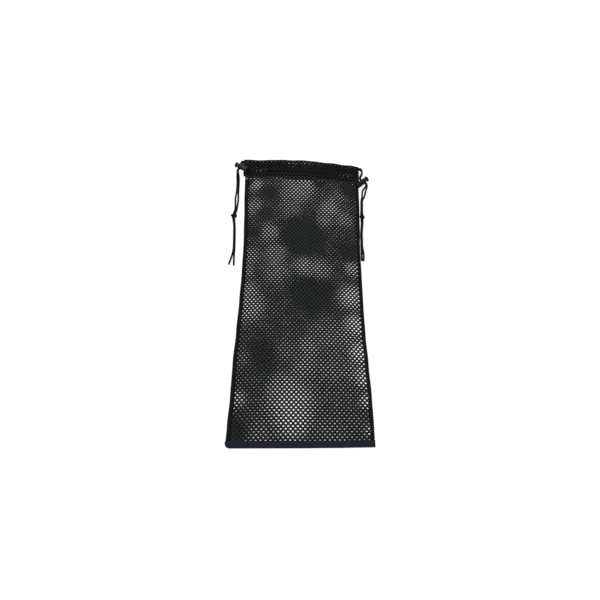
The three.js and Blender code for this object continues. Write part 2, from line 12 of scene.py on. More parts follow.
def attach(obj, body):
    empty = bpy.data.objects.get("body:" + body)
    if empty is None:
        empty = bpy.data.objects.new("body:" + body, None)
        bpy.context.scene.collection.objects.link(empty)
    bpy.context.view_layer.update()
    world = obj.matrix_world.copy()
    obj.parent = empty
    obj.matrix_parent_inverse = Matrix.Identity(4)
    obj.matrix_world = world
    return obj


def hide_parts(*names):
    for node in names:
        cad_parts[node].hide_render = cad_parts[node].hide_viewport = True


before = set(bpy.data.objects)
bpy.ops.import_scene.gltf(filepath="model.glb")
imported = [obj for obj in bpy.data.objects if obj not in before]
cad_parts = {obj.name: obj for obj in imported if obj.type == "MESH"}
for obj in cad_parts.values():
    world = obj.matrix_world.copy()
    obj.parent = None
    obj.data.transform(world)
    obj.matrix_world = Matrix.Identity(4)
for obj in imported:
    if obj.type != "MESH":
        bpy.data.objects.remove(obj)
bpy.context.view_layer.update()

bl_info = {
    "name": "Net Gear Bag",
    "version": (1, 0, 0),
    "blender": (4, 5, 0),
    "location": "View3D > Sidebar > Gear Bag",
    "description": "Nets, seams, cords and cord locks of an empty drawstring bag of black net",
    "category": "Object",
}

MM_PER_METRE = 1000

# Driving sizes of the bag, as its solids have them
BAG_WIDTH = 0.303
BAG_LENGTH = 0.7075
CLOTH = 0.001
GAP = 0.0003
PUFF = 0.011
LEFT_SEAM_WIDTH = 0.010
RIGHT_SEAM_WIDTH = 0.0075
SEAM_STOP = 0.012
HEM_HEIGHT = 0.014
HEM_GRIP = 0.007
HEM_CORNER_RADIUS = 0.010
CASING_HEIGHT = 0.045
CASING_LEFT = -0.1395
CASING_RIGHT = 0.1445
CASING_GRIP = 0.010
CASING_STEP = 0.004
MOUTH_GAPE = 0.008
TUCK_MARGIN = 0.0015
CORD_DIAMETER = 0.003
CORD_DROP = 0.006
KNOT_HEIGHT = 0.008

# Cord lock, measured along its own axis from the tip of the button's head
LOCK_LENGTH = 0.036
BARREL_MOUTH = 0.009
BARREL_RADIUS = 0.0067
BORE_RADIUS = 0.005
BORE_END = 0.030
SLOT_START = 0.0125
SLOT_LENGTH = 0.0064
SLOT_HEIGHT = 0.0069
BUTTON_STROKE = 0.0028
STEM_RADIUS = 0.0047
STEM_END = 0.0191
HEAD_RADIUS = 0.0071

# Camera of the photograph, as it stands in the part's own frame
CAMERA_PLACE = (0.0, -0.5538, 1.1849)
CAMERA_TILT = math.radians(24)
CAMERA_LENS_MM = 34.74
CAMERA_FILM_MM = 36
CAMERA_NEAR = 0.01

# Room: a glowing pale floor, and soft lights by name, place, width and watts
FLOOR_SIZE = 12
FLOOR_GLOW = 0.86
FLOOR_WHITE = 0.22
FLOOR_UNEVENNESS = 1.05
ROOM_GLOW = 0.5
LIGHTS = [
    ("key light", (-0.9, 0.9, 1.5), 0.9, 22),
    ("fill light", (1.1, -0.5, 1.4), 1.2, 9),
]

# Heights of the cloth layers where a strip is folded round both panels' edges
BACK_EDGE_Z = CLOTH + GAP
FRONT_EDGE_Z = BACK_EDGE_Z + CLOTH + GAP
STRIP_TOP_Z = FRONT_EDGE_Z + CLOTH + GAP + CLOTH
CASING_THICKNESS = 2 * CLOTH + CORD_DIAMETER + 2 * GAP
GRIP_THICKNESS = 3 * CLOTH + 2 * GAP
STRIP_LOW = CLOTH / 2
STRIP_HIGH = STRIP_TOP_Z - CLOTH / 2
FOLD_STEPS = 6

# Where the nets end under the hem and the casings, and where the seams begin and end
NET_FOOT = HEM_HEIGHT - HEM_GRIP
NET_MOUTH = CASING_GRIP - 2 * GAP
SEAM_FOOT = HEM_HEIGHT + GAP

# The long sides' distances from the middle line, as shares of the width: rows of place
# along the bag, from foot to mouth, and distance of the left and the right side
SIDES = [
    (0.00, 0.500, 0.500), (0.06, 0.494, 0.500), (0.15, 0.482, 0.495), (0.25, 0.476, 0.484),
    (0.35, 0.462, 0.472), (0.45, 0.450, 0.467), (0.55, 0.441, 0.465), (0.65, 0.437, 0.463),
    (0.75, 0.441, 0.469), (0.85, 0.447, 0.473), (1.00, 0.453, 0.474),
]
# How far the foot and mouth edges lie inside the length, as shares of it: rows of place
# across the bag, as a share of its width, and distance of the foot and the mouth
ENDS = [
    (-0.51, 0.0, 0.0), (-0.25, 0.0003, 0.0062), (0.0, 0.0005, 0.0127), (0.25, 0.0014, 0.0205),
    (0.4, 0.0026, 0.0270), (0.51, 0.0034, 0.0340),
]

# Soft folds of the upper panel: middle across and along it, reach along and across, lean
# in degrees, and height as a share of PUFF
FOLDS = [
    (0.30, 0.78, 0.16, 0.16, 20, 0.20),
    (0.66, 0.62, 0.20, 0.12, -14, -0.16),
    (0.26, 0.46, 0.18, 0.14, -10, -0.15),
    (0.62, 0.34, 0.16, 0.20, 30, 0.18),
    (0.40, 0.15, 0.12, 0.24, 8, -0.12),
]

# Where the two nets' meshes lie over each other and light comes through, and where they
# lie crossed and look dense: middle across and along the bag and reach, all in
# millimetres, and openness in per cent
NET_MATCHES = [
    (-5, 265, 28, 64), (15, 280, 14, 70), (-25, 210, 18, 50), (70, 210, 17, 68),
    (85, 240, 14, 50), (55, 175, 14, 58), (-105, 280, 10, 75), (-110, 220, 15, 60),
    (105, 180, 14, 58), (-70, 145, 16, 65), (-55, 90, 18, 58), (-55, 45, 20, 56),
    (-115, 85, 16, 57), (-120, -5, 18, 68), (-112, -45, 23, 70), (10, 55, 18, 65),
    (45, 45, 18, 62), (120, 50, 13, 75), (115, -20, 20, 88), (122, -90, 19, 95),
    (130, -150, 19, 100), (135, -205, 17, 100), (140, -255, 12, 95), (143, -315, 9, 80),
    (-18, -260, 34, 86), (-15, -300, 24, 86), (-35, -225, 20, 65), (-90, -325, 26, 50),
    (20, -140, 18, 60), (-30, -150, 22, 45), (-130, -250, 12, 75), (5, 135, 36, 0),
    (25, -10, 30, 0), (-75, 255, 16, 10), (-85, 200, 14, 15), (-105, 150, 12, 10),
    (110, 100, 18, 15), (125, 265, 14, 10), (45, 290, 14, 10), (-80, -155, 26, 10),
    (85, -250, 30, 42), (-125, -320, 22, 0), (110, -305, 24, 40), (-131, 297, 9, 0),
    (122, 284, 10, 0), (60, -110, 26, 50), (12, -185, 20, 60), (-121, 46, 11, 60),
    (95, -120, 20, 55), (70, -190, 26, 50), (105, -195, 18, 55), (60, -320, 24, 48),
    (-118, -160, 16, 45),
]
USUAL_OPENNESS = 0.3
USUAL_WEIGHT = 0.7
MATCH_WEIGHT = 3.0

# Cord locks: tip of the head, and the axis from the head to the closed end as a heading
# and a climb in degrees
LOCKS = {
    "left": ((-0.1575, 0.3327, 0.0152), -34, 10),
    "right": ((0.1642, 0.296, 0.0079), -135, 7.5),
}
# Middles of the knots on the surface, and their width and length
KNOTS = {"left": (-0.1578, 0.1908, 0.014, 0.012), "right": (0.1479, 0.1866, 0.011, 0.0105)}

# Routes of the free cords in millimetres: the two strands of a side run from inside the
# casing's end through the lock to the knot, and their tails lie beyond it
CORD_ROUTES = {
    "left_front_strand": [
        (-131.3, 347.2, 8.8), (-135, 347.3, 8.75), (-139.7, 347.1, 8.8), (-143.5, 345.6, 10.2),
        (-144.3, 341.8, 14.1), (-142.6, 336.6, 17.9), (-141, 332.4, 19.3), (-143.6, 328.7, 19.3),
        (-146.1, 325, 19.3), (-148.6, 321.2, 19.3), (-151.1, 317.5, 19.3), (-153.3, 312.8, 18),
        (-153.9, 307.6, 13.6), (-154.4, 302.4, 9.2), (-154.3, 297, 5.2), (-154.2, 291, 2.6),
        (-154.1, 284, 1.6), (-154.1, 276, 1.5), (-154.2, 267, 1.5), (-154.8, 258, 1.5),
        (-156, 248, 1.5), (-156.5, 240, 1.5), (-156.1, 230, 1.5), (-155.6, 221, 1.5),
        (-155.9, 211, 1.5), (-157.7, 203.4, 1.8), (-159.4, 197.1, 2.6),
    ],
    "left_back_strand": [
        (-131.3, 347.2, 2.8), (-135, 347.3, 2.8), (-139.9, 347, 2.8), (-144.9, 346, 3.6),
        (-147.6, 342.6, 7.6), (-145.6, 337.8, 12.3), (-142.4, 334.2, 15), (-140.6, 332.1, 16.1),
        (-143.1, 328.4, 16.1), (-145.6, 324.7, 16.1), (-148.1, 320.9, 16.1),
        (-150.6, 317.2, 16.1), (-152.1, 313.6, 13.8), (-151.3, 308.9, 10.3), (-150.4, 302.6, 6),
        (-150.2, 297, 3.4), (-150.1, 291.4, 1.9), (-150.1, 285, 1.5), (-150.1, 276, 1.5),
        (-150.2, 267, 1.5), (-150.2, 258, 1.5), (-149.8, 248, 1.5), (-149.6, 240, 1.5),
        (-149.9, 230, 1.5), (-150.9, 221, 1.5), (-151.9, 211, 1.5), (-153.6, 203.4, 1.8),
        (-155.4, 197.1, 2.6),
    ],
    "left_front_tail": [
        (-159.2, 184.5, 4), (-158.2, 178, 4.6), (-156.6, 168, 4.9), (-155.8, 158, 4.9),
        (-155.4, 148, 4.9), (-154.9, 132, 4.9), (-154.5, 117, 4.9), (-154.4, 106, 4.6),
        (-155.1, 98, 3.6), (-156.8, 89, 2.2), (-159, 80, 1.5), (-161.6, 70.5, 1.5),
        (-164.2, 62, 1.5),
    ],
    "left_back_tail": [
        (-156.4, 184.5, 2), (-156, 178, 1.6), (-154.8, 168, 1.5), (-154, 158, 1.5),
        (-153.6, 148, 1.5), (-153, 132, 1.5), (-152.7, 117, 1.5), (-152.6, 106, 1.5),
        (-152.6, 98, 1.5), (-152.8, 89, 1.5), (-152.7, 80, 1.5), (-152.5, 70, 1.5),
        (-152.3, 59.2, 1.5),
    ],
    "right_front_strand": [
        (136.3, 325.9, 8.8), (140, 325.7, 8.75), (144.8, 325.4, 8.8), (149, 324.2, 8.9),
        (151.8, 320.4, 9.2), (152.4, 315, 9.6), (151.4, 309, 10), (149.4, 303.6, 10.6),
        (147.6, 299.4, 11.1), (146.7, 295.8, 11.3), (148, 292.5, 11.4), (151.1, 289.3, 11.4),
        (154.3, 286.1, 11.4), (157.5, 282.9, 11.4), (160.7, 279.8, 11.4), (162.6, 276.2, 10.6),
        (162.8, 271.8, 8.2), (161.6, 266.8, 5), (159.8, 261.4, 2.6), (158.4, 256, 1.6),
        (157, 250, 1.5), (154.6, 243.6, 2.4), (151.8, 238, 4), (150, 231, 4.9), (149.6, 222, 4.9),
        (149.2, 212, 4.9), (148.8, 203, 4.4), (149.1, 192.2, 3.5),
    ],
    "right_back_strand": [
        (136.3, 325.9, 2.8), (140, 325.7, 2.8), (144.8, 325.5, 2.8), (149.6, 324.4, 2.9),
        (152.6, 320.6, 3.3), (153.2, 315, 3.9), (152.2, 309.2, 4.9), (150, 303.8, 6.1),
        (148.2, 299.6, 7.2), (147, 295.8, 8), (147.7, 292.2, 8.1), (150.8, 289, 8.1),
        (154, 285.8, 8.1), (157.2, 282.6, 8.1), (160.4, 279.5, 8), (160.9, 275.6, 6.6),
        (158.4, 271.6, 4.2), (154.9, 267.6, 2.4), (152.3, 262.8, 1.6), (151.2, 257, 1.5),
        (151, 250, 1.5), (150.2, 244, 1.5), (148.8, 238, 1.5), (148, 231, 1.5), (147.6, 222, 1.5),
        (147.2, 212, 1.5), (146.4, 203, 1.6), (145.9, 192.4, 2.2),
    ],
    "right_front_tail": [
        (149, 180.9, 4.1), (148.8, 175, 4.6), (148.1, 168, 4.9), (147.1, 158, 4.9),
        (146, 148, 4.9), (145.3, 138, 4.9), (145.2, 128, 4.9), (145.1, 118, 4.9),
        (144.9, 108, 4.6), (146.1, 99, 3.4), (147.3, 91, 1.9), (147.6, 82, 1.5),
        (146.4, 70.6, 1.5),
    ],
    "right_back_tail": [
        (146.2, 180.9, 1.9), (146.3, 175, 1.5), (146.1, 168, 1.5), (145.2, 158, 1.5),
        (144.2, 148, 1.5), (143.6, 138, 1.5), (143.5, 128, 1.5), (143.3, 118, 1.5),
        (143, 108, 1.5), (142.9, 98, 1.5), (142.8, 89, 1.5), (142.7, 80, 1.5), (142.6, 71.2, 1.5),
    ],
}


def length_setting(name, text, default, low):
    return bpy.props.FloatProperty(
        name=name, description=text, default=default, min=low, unit="LENGTH")


def colour_setting(name, text, default):
    return bpy.props.FloatVectorProperty(
        name=name, description=text, subtype="COLOR", size=3, min=0, max=1, default=default)


class GearBagSizes(bpy.types.PropertyGroup):
    """Sizes of the nets, cords and stitches"""
    mesh_width: length_setting(
        "Mesh width", "Distance between two holes of a row of net", 0.0097, 0.004)
    mesh_length: length_setting(
        "Mesh length", "Distance between two rows of holes, along the bag", 0.0108, 0.004)
    hole_diameter: length_setting("Hole", "Width of a hole of the panels' net", 0.0047, 0.001)
    folded_hole_diameter: length_setting(
        "Casing hole", "Width of a hole of the net that the casings are folded of", 0.0042, 0.001)
    seam_hole_diameter: length_setting(
        "Seam hole", "Width of a hole where the side strips draw the net in", 0.0012, 0.0005)
    strand_thickness: length_setting(
        "Strand thickness", "Thickness of the net's knitted strands", 0.0009, 0.0003)
    tape_thickness: length_setting(
        "Tape thickness", "Thickness of the woven tape of the foot hem", 0.0009, 0.0003)
    braid_pitch: length_setting(
        "Braid pitch", "Length of cord in which its yarns go round once", 0.012, 0.003)
    stitch_length: length_setting("Stitch", "Length of one stitch", 0.0034, 0.001)
    thread_diameter: length_setting("Thread", "Thickness of the sewing thread", 0.0006, 0.0002)


class GearBagColours(bpy.types.PropertyGroup):
    """Colours of the bag's cloth, cords and plastic"""
    net: colour_setting("Net", "Colour of the knitted net", (0.0105, 0.0125, 0.0135))
    tape: colour_setting("Hem tape", "Colour of the foot hem's tape", (0.0075, 0.0095, 0.016))
    cord: colour_setting("Cord", "Colour of the braided cord", (0.0035, 0.0038, 0.0043))
    plastic: colour_setting("Lock plastic", "Colour of the cord locks", (0.0050, 0.0053, 0.0062))
    thread: colour_setting("Thread", "Colour of the sewing thread", (0.022, 0.024, 0.030))


def sizes():
    return bpy.context.scene.gear_bag_sizes


def colours():
    return bpy.context.scene.gear_bag_colours


# Shape of the bag: outline, folds and the heights of its layers

def eased(table, column, places):
    """Reads a column of a table whose first one holds places, eased between its rows."""
    keys, values = np.array(table)[:, (0, column)].T
    row = np.clip(np.searchsorted(keys, places) - 1, 0, len(keys) - 2)
    share = np.clip((places - keys[row]) / (keys[row + 1] - keys[row]), 0, 1)
    return values[row] + (values[row + 1] - values[row]) * share * share * (3 - 2 * share)


def smooth_step(share):
    share = np.clip(share, 0, 1)
    return share * share * (3 - 2 * share)


def foot_y(x):
    return BAG_LENGTH * (eased(ENDS, 1, x / BAG_WIDTH) - 0.5)


def mouth_y(x):
    return BAG_LENGTH * (0.5 - eased(ENDS, 2, x / BAG_WIDTH))


def casing_foot_y(x):
    return mouth_y(x) - CASING_HEIGHT


def left_x(along):
    return -BAG_WIDTH * eased(SIDES, 1, along)


def right_x(along):
    return BAG_WIDTH * eased(SIDES, 2, along)


def gape(x):
    """How far the upper casing stands over the lower one: most in the middle."""
    share = (x - (CASING_LEFT + CASING_RIGHT) / 2) / (CASING_RIGHT - CASING_LEFT)
    return MOUTH_GAPE * np.cos(math.pi * share) ** 2


def front_casing_z(x):
    return CASING_THICKNESS + GAP + gape(x)


def back_casing_z(x):
    return np.zeros_like(x)


def fold_height(across, along):
    height = np.zeros_like(across)
    for middle_across, middle_along, long, wide, lean, share in FOLDS:
        turn = math.radians(lean)
        du = across - middle_across
        dv = along - middle_along
        u = (du * math.cos(turn) + dv * math.sin(turn)) / wide
        v = (dv * math.cos(turn) - du * math.sin(turn)) / long
        height += share * np.exp(-u * u - v * v)
    return height


def straight_share(v, foot_inset, mouth_inset):
    """Share of the bag's length, at places between two insets on its middle line."""
    low = foot_y(0.0) + foot_inset
    high = casing_foot_y(0.0) + mouth_inset
    return (low + v * (high - low)) / BAG_LENGTH + 0.5


def panel_plan(u, v):
    """Places on a panel: x, y, the shares across and along its free field, and how far
    each place has come from the field to the casing."""
    along = straight_share(v, NET_FOOT, NET_MOUTH)
    left = left_x(along) + CLOTH + GAP
    right = right_x(along) - CLOTH - GAP
    x = left + u * (right - left)
    low = foot_y(x) + NET_FOOT
    y = low + v * (casing_foot_y(x) + NET_MOUTH - low)
    inner = left_x(along) + LEFT_SEAM_WIDTH + TUCK_MARGIN
    outer = right_x(along) - RIGHT_SEAM_WIDTH - TUCK_MARGIN
    across = (x - inner) / (outer - inner)
    field_foot = foot_y(x) + HEM_HEIGHT + TUCK_MARGIN
    field_mouth = casing_foot_y(x) - SEAM_STOP
    field_along = (y - field_foot) / (field_mouth - field_foot)
    to_mouth = (y - field_mouth) / (SEAM_STOP - TUCK_MARGIN)
    return x, y, across, field_along, smooth_step(to_mouth)


# The upper panel's free field: in how many of its rows it rises from the hem, how steeply
# from the seams, its usual fullness as a share of PUFF, and the ripples on it
FIELD_ROWS = 15
FOOT_RISE_ROWS = 2.2
SIDE_STEEPNESS = 1.5
USUAL_FULLNESS = 0.82
RIPPLE = 0.0007
RIPPLE_LENGTH = 0.052
RIPPLE_SLANT = 0.4
LONG_RIPPLE_LENGTH = 2.3 * RIPPLE_LENGTH
# How far from its edges the lower panel has come down to the surface
EDGE_REACH = 0.02


def front_net(u, v):
    """The upper panel's middle surface."""
    x, y, across, along, to_mouth = panel_plan(u, v)
    side = np.minimum(1, np.sin(math.pi * np.clip(across, 0, 1)) * SIDE_STEEPNESS)
    foot = np.clip(along * FIELD_ROWS / FOOT_RISE_ROWS, 0, 1)
    soft = np.sin(side * math.pi / 2) * np.sin(foot * math.pi / 2)
    full = USUAL_FULLNESS + fold_height(np.clip(across, 0, 1), np.clip(along, 0, 1))
    ripple = np.sin(2 * math.pi * (x + RIPPLE_SLANT * y) / RIPPLE_LENGTH)
    ripple *= np.cos(2 * math.pi * y / LONG_RIPPLE_LENGTH)
    field = FRONT_EDGE_Z + soft * (PUFF * full + RIPPLE * ripple)
    mouth = front_casing_z(x) + CLOTH + GAP
    return np.stack([x, y, field + (mouth - field) * to_mouth + CLOTH / 2], axis=-1)


def lower_height(across, along):
    """Height of the lower panel: on the surface, and lifted where a strip grips it."""
    edge = np.minimum(across, 1 - across) * BAG_WIDTH
    foot = along * BAG_LENGTH
    inside = smooth_step(edge / EDGE_REACH) * smooth_step(foot / EDGE_REACH)
    return BACK_EDGE_Z * (1 - inside)


def openness(x, y):
    """How well the two nets' meshes lie over each other at a place, 0 to 1."""
    total = np.full_like(x, USUAL_WEIGHT)
    value = total * USUAL_OPENNESS
    for middle_x, middle_y, reach, percent in NET_MATCHES:
        away = np.hypot(x - middle_x / MM_PER_METRE, y - middle_y / MM_PER_METRE)
        away /= reach / MM_PER_METRE
        weight = MATCH_WEIGHT * np.exp(-away ** 2)
        total += weight
        value += weight * percent / 100
    return value / total


def back_net(u, v):
    """The lower panel's middle surface: its meshes lie where the upper panel's are seen
    against it, and half a mesh aside where the two look dense."""
    x, y, across, along, _ = panel_plan(u, v)
    upper = front_net(u, v)
    z = lower_height(across, along) + CLOTH / 2
    drop = (upper[..., 2] - z) / (CAMERA_PLACE[2] - upper[..., 2])
    aside = 0.5 * sizes().mesh_length * (1 - openness(x, y))
    return np.stack([
        x + (x - CAMERA_PLACE[0]) * drop,
        y + (y - CAMERA_PLACE[1]) * drop - aside,
        z,
    ], axis=-1)


def path_places(share, path):
    """Places at shares of the way along a path of two columns."""
    path = np.array(path)
    run = np.concatenate([[0], np.cumsum(np.hypot(*np.diff(path, axis=0).T))])
    return np.interp(share, run / run[-1], path[:, 0]), np.interp(share, run / run[-1], path[:, 1])


def path_length(path):
    return float(np.hypot(*np.diff(np.array(path), axis=0).T).sum())


def bend(inset, low, high, way):
    """Half a turn of cloth from a low to a high layer, bulging one way from an inset."""
    radius = (high - low) / 2
    turns = np.linspace(-0.5, 0.5, FOLD_STEPS + 1) * math.pi
    return [(inset + way * radius * math.cos(t), low + radius * (1 + math.sin(t))) for t in turns]


def folded_path(width, low, high):
    """A strip's section folded over an edge: from its lower inner edge round to its upper."""
    return [(width, low)] + bend(CLOTH / 2 + (high - low) / 2, low, high, -1) + [(width, high)]


def seam_surface(side_x, width, inwards):
    """A side strip's surface, facing out: u goes round its fold and v along the bag."""
    path = folded_path(width, STRIP_LOW, STRIP_HIGH)

    def surface(u, v):
        inset, z = path_places(u if inwards < 0 else 1 - u, path)
        x = side_x(straight_share(v, SEAM_FOOT, -SEAM_STOP)) + inwards * inset
        low = foot_y(x) + SEAM_FOOT
        return np.stack([x, low + v * (casing_foot_y(x) - SEAM_STOP - low), z], axis=-1)
    return surface, path_length(path)


def casing_path():
    """Section of a mouth casing from its lower inner edge over the mouth to its grip."""
    low = CLOTH / 2
    high = CASING_THICKNESS - CLOTH / 2
    grip = GRIP_THICKNESS - CLOTH / 2
    far = CASING_HEIGHT - CLOTH / 2 - (high - low) / 2
    return [(0, low)] + bend(far, low, high, 1) + [
        (CASING_GRIP + CASING_STEP, high), (CASING_GRIP, grip), (0, grip)]


# How the net lies in the casings: how soon it slants from their ends, as a share of their
# width, and how deep and how long its dips between the stitches are
SLANT_FREE = 1 / 12
DIP = 0.0004
DIP_LENGTH = 0.041
DIP_SHIFT = 3


def casing_surface(base_z, skew):
    """A casing's surface, facing out: u goes across the bag and v round the channel."""
    path = casing_path()
    skew_length = skew * sizes().mesh_width

    def surface(u, v):
        v = 1 - v
        x = CASING_LEFT + u * (CASING_RIGHT - CASING_LEFT)
        inset, z = path_places(v, path)
        slant = skew_length * (v - 0.5) * np.clip(np.minimum(u, 1 - u) / SLANT_FREE, 0, 1)
        dip = DIP * np.sin(x * 2 * math.pi / DIP_LENGTH + v * DIP_SHIFT)
        dip *= np.clip(inset / CASING_GRIP - 1, 0, 1) * (z > CASING_THICKNESS / 2)
        return np.stack([x + slant, casing_foot_y(x) + inset, base_z(x) + z + dip], axis=-1)
    return surface, path_length(path)


# How much closer the hem's steps are at its rounded corner, as a power
HEM_SPREAD = 1.25


def hem_surface(u, v):
    """The foot hem's tape: u goes round its fold and v across the bag, in steps that are
    closer at its rounded corner."""
    left = left_x(0.0)
    right = right_x(0.0)
    x = left + (right - left) * np.clip(v, 0, 1) ** HEM_SPREAD
    inset, z = path_places(u, folded_path(HEM_HEIGHT, STRIP_LOW, STRIP_HIGH))
    short = np.clip(HEM_CORNER_RADIUS - (x - left), 0, HEM_CORNER_RADIUS)
    rise = HEM_CORNER_RADIUS - np.sqrt(HEM_CORNER_RADIUS ** 2 - short ** 2)
    return np.stack([x, foot_y(x) + inset + rise * (1 - inset / HEM_HEIGHT), z], axis=-1)


# Meshes from surfaces

def new_piece(name, points, faces, marks, mark_name, paint):
    """A mesh piece at the origin, with a flat map of its own that its pattern follows."""
    mesh = bpy.data.meshes.new(name)
    mesh.from_pydata([tuple(p) for p in points], [], faces)
    flat_map = mesh.uv_layers.new(name=mark_name)
    corners = np.empty(len(mesh.loops), dtype=np.int32)
    mesh.loops.foreach_get("vertex_index", corners)
    flat_map.data.foreach_set("uv", np.asarray(marks, dtype=np.float32)[corners].ravel())
    mesh.polygons.foreach_set("use_smooth", [True] * len(mesh.polygons))
    mesh.materials.append(paint)
    mesh.validate()
    mesh.update()
    piece = bpy.data.objects.new(name, mesh)
    bpy.context.scene.collection.objects.link(piece)
    return piece


# Step in a surface's shares from which its slope is taken
NORMAL_STEP = 0.0004


def lifted(surface, u, v, height):
    """Points that stand a height off a surface, along its own normal."""
    middle = surface(u, v)
    du = surface(u + NORMAL_STEP, v) - surface(u - NORMAL_STEP, v)
    dv = surface(u, v + NORMAL_STEP) - surface(u, v - NORMAL_STEP)
    normal = np.cross(du, dv)
    normal /= np.linalg.norm(normal, axis=-1, keepdims=True)
    return middle + normal * height[:, None]


# Steps along each side of a mesh, and how much the holes differ in width
EDGE_STEPS = 2
HOLE_UNEVENNESS = 0.05
LATTICE_SEED = 7


class NetLattice:
    """A flat net as one closed mesh: rows of holes, every second row half a mesh aside.

    Points are kept as places in meshes and a side of the net: 1 above, -1 below, and 0
    where the two meet, at a hole's rim and at the net's own edge.
    """

    def __init__(self, columns, rows, hole_across, hole_along):
        self.columns = columns
        self.rows = rows
        self.hole = (hole_across / 2, hole_along / 2)
        self.unit = 2 * EDGE_STEPS
        self.random = np.random.default_rng(LATTICE_SEED)
        self.points = []
        self.faces = []
        self.known = {}
        self.ring = self.diamond()
        for row in range(rows + 1):
            for column in range(columns + 1):
                self.add_cell(column, row, 0 < column < columns and 0 < row < rows)
                if column < columns and row < rows:
                    self.add_cell(column + 0.5, row + 0.5, True)

    def diamond(self):
        """Steps round a cell's own outline, counted in the lattice's small units."""
        corners = [(1, 0), (0, 1), (-1, 0), (0, -1)]
        return [
            (m * (EDGE_STEPS - step) + next_m * step, n * (EDGE_STEPS - step) + next_n * step)
            for (m, n), (next_m, next_n) in zip(corners, corners[1:] + corners[:1])
            for step in range(EDGE_STEPS)
        ]

    def inside(self, m, n):
        return 0 <= m <= self.columns * self.unit and 0 <= n <= self.rows * self.unit

    def lattice_point(self, m, n, side):
        at_edge = m in (0, self.columns * self.unit) or n in (0, self.rows * self.unit)
        key = (m, n, 0 if at_edge else side)
        if key not in self.known:
            self.known[key] = len(self.points)
            self.points.append((m / self.unit, n / self.unit, key[2]))
        return self.known[key]

    def add_face(self, face, side):
        self.faces.append(tuple(face) if side > 0 else tuple(reversed(face)))

    def add_cell(self, p, q, open_cell):
        middle = (round(p * self.unit), round(q * self.unit))
        outline = [(middle[0] + m, middle[1] + n) for m, n in self.ring]
        count = len(outline)
        rim = []
        if open_cell:
            wide, long = self.random.uniform(1 - HOLE_UNEVENNESS, 1 + HOLE_UNEVENNESS, 2)
            for corner in range(count):
                turn = 2 * math.pi * corner / count
                rim.append(len(self.points))
                self.points.append((
                    p + self.hole[0] * wide * math.cos(turn),
                    q + self.hole[1] * long * math.sin(turn),
                    0,
                ))
        for corner in range(count):
            here = outline[corner]
            there = outline[(corner + 1) % count]
            if not (self.inside(*here) and self.inside(*there)):
                continue
            for side in (1, -1):
                low = self.lattice_point(*here, side)
                high = self.lattice_point(*there, side)
                if open_cell:
                    self.add_face((rim[corner], low, high, rim[(corner + 1) % count]), side)
                else:
                    self.add_face((self.lattice_point(*middle, side), low, high), side)


def net_piece(name, surface, width, length, hole_diameter, paint, drawn_in=1.0):
    """A net whose surface takes shares from 0 to 1 across and along it."""
    size = sizes()
    columns = max(1, round(width / size.mesh_width / drawn_in))
    rows = max(1, round(length / size.mesh_length / drawn_in))
    lattice = NetLattice(
        columns, rows, hole_diameter * columns / width, hole_diameter * rows / length)
    places = np.array(lattice.points)
    height = places[:, 2] * size.strand_thickness / 2
    points = lifted(surface, places[:, 0] / columns, places[:, 1] / rows, height)
    return new_piece(name, points, lattice.faces, places[:, :2], "net", paint)


def cloth_piece(name, surface, across_steps, along_steps, thickness, flat, paint):
    """A closed sheet of even thickness from a surface, its flat map in metres."""
    u, v = np.meshgrid(np.linspace(0, 1, across_steps + 1), np.linspace(0, 1, along_steps + 1))
    u = u.ravel()
    v = v.ravel()
    count = len(u)
    half = np.full(count, thickness / 2)
    points = np.concatenate([lifted(surface, u, v, half), lifted(surface, u, v, -half)])
    marks = np.tile(np.stack([u * flat[0], v * flat[1]], axis=-1), (2, 1))
    grid = np.arange(count).reshape(along_steps + 1, across_steps + 1).tolist()
    faces = []
    for near, far in zip(grid, grid[1:]):
        for quad in zip(near, near[1:], far[1:], far):
            faces.append(quad)
            faces.append(tuple(count + corner for corner in reversed(quad)))
    border = grid[0][:-1] + [row[-1] for row in grid[:-1]]
    border += grid[-1][:0:-1] + [row[0] for row in grid[:0:-1]]
    for here, there in zip(border, border[1:] + border[:1]):
        faces.append((here, here + count, there + count, there))
    return new_piece(name, points, faces, marks, "tape", paint)


# Cords

CURVE_STEPS = 12


def centripetal(route):
    """Points close together on the smooth curve through a route's points."""
    route = [np.array(p) for p in route]
    padded = [2 * route[0] - route[1]] + route + [2 * route[-1] - route[-2]]
    line = []
    for a, b, c, d in zip(padded, padded[1:], padded[2:], padded[3:]):
        gaps = [max(np.linalg.norm(q - p), 1e-9) ** 0.5 for p, q in ((a, b), (b, c), (c, d))]
        start = (b - a) / gaps[0] - (c - a) / (gaps[0] + gaps[1]) + (c - b) / gaps[1]
        end = (c - b) / gaps[1] - (d - b) / (gaps[1] + gaps[2]) + (d - c) / gaps[2]
        start *= gaps[1]
        end *= gaps[1]
        for t in np.linspace(0, 1, CURVE_STEPS, endpoint=False):
            line.append(
                b * (2 * t ** 3 - 3 * t ** 2 + 1) + start * (t ** 3 - 2 * t ** 2 + t)
                + c * (3 * t ** 2 - 2 * t ** 3) + end * (t ** 3 - t ** 2))
    line.append(route[-1])
    return np.array(line)


def read_line(stops, keys, line):
    """Points of a line at stops between the keys of its own points."""
    return np.stack([np.interp(stops, keys, line[:, k]) for k in range(3)], axis=-1)


def evenly(line, spacing):
    """The same line with its points an even distance apart, and its length."""
    run = np.concatenate([[0], np.cumsum(np.linalg.norm(np.diff(line, axis=0), axis=1))])
    count = max(2, round(run[-1] / spacing))
    return read_line(np.linspace(0, run[-1], count + 1), run, line), float(run[-1])


# Thickness of a cord where it lies loose and in the knots
LOOSE_CORD = 0.0045
KNOT_CORD = 0.0052
# Length over which a cord swells again past a slot or a casing's end, and how far from
# there it begins to, as a share of that length
SWELL_LENGTH = 0.009
SWELL_FROM = 0.4
CORD_SIDES = 24
RING_SPACING = 0.0006
BRAID_LOBES = 6
BRAID_RELIEF = 0.00009
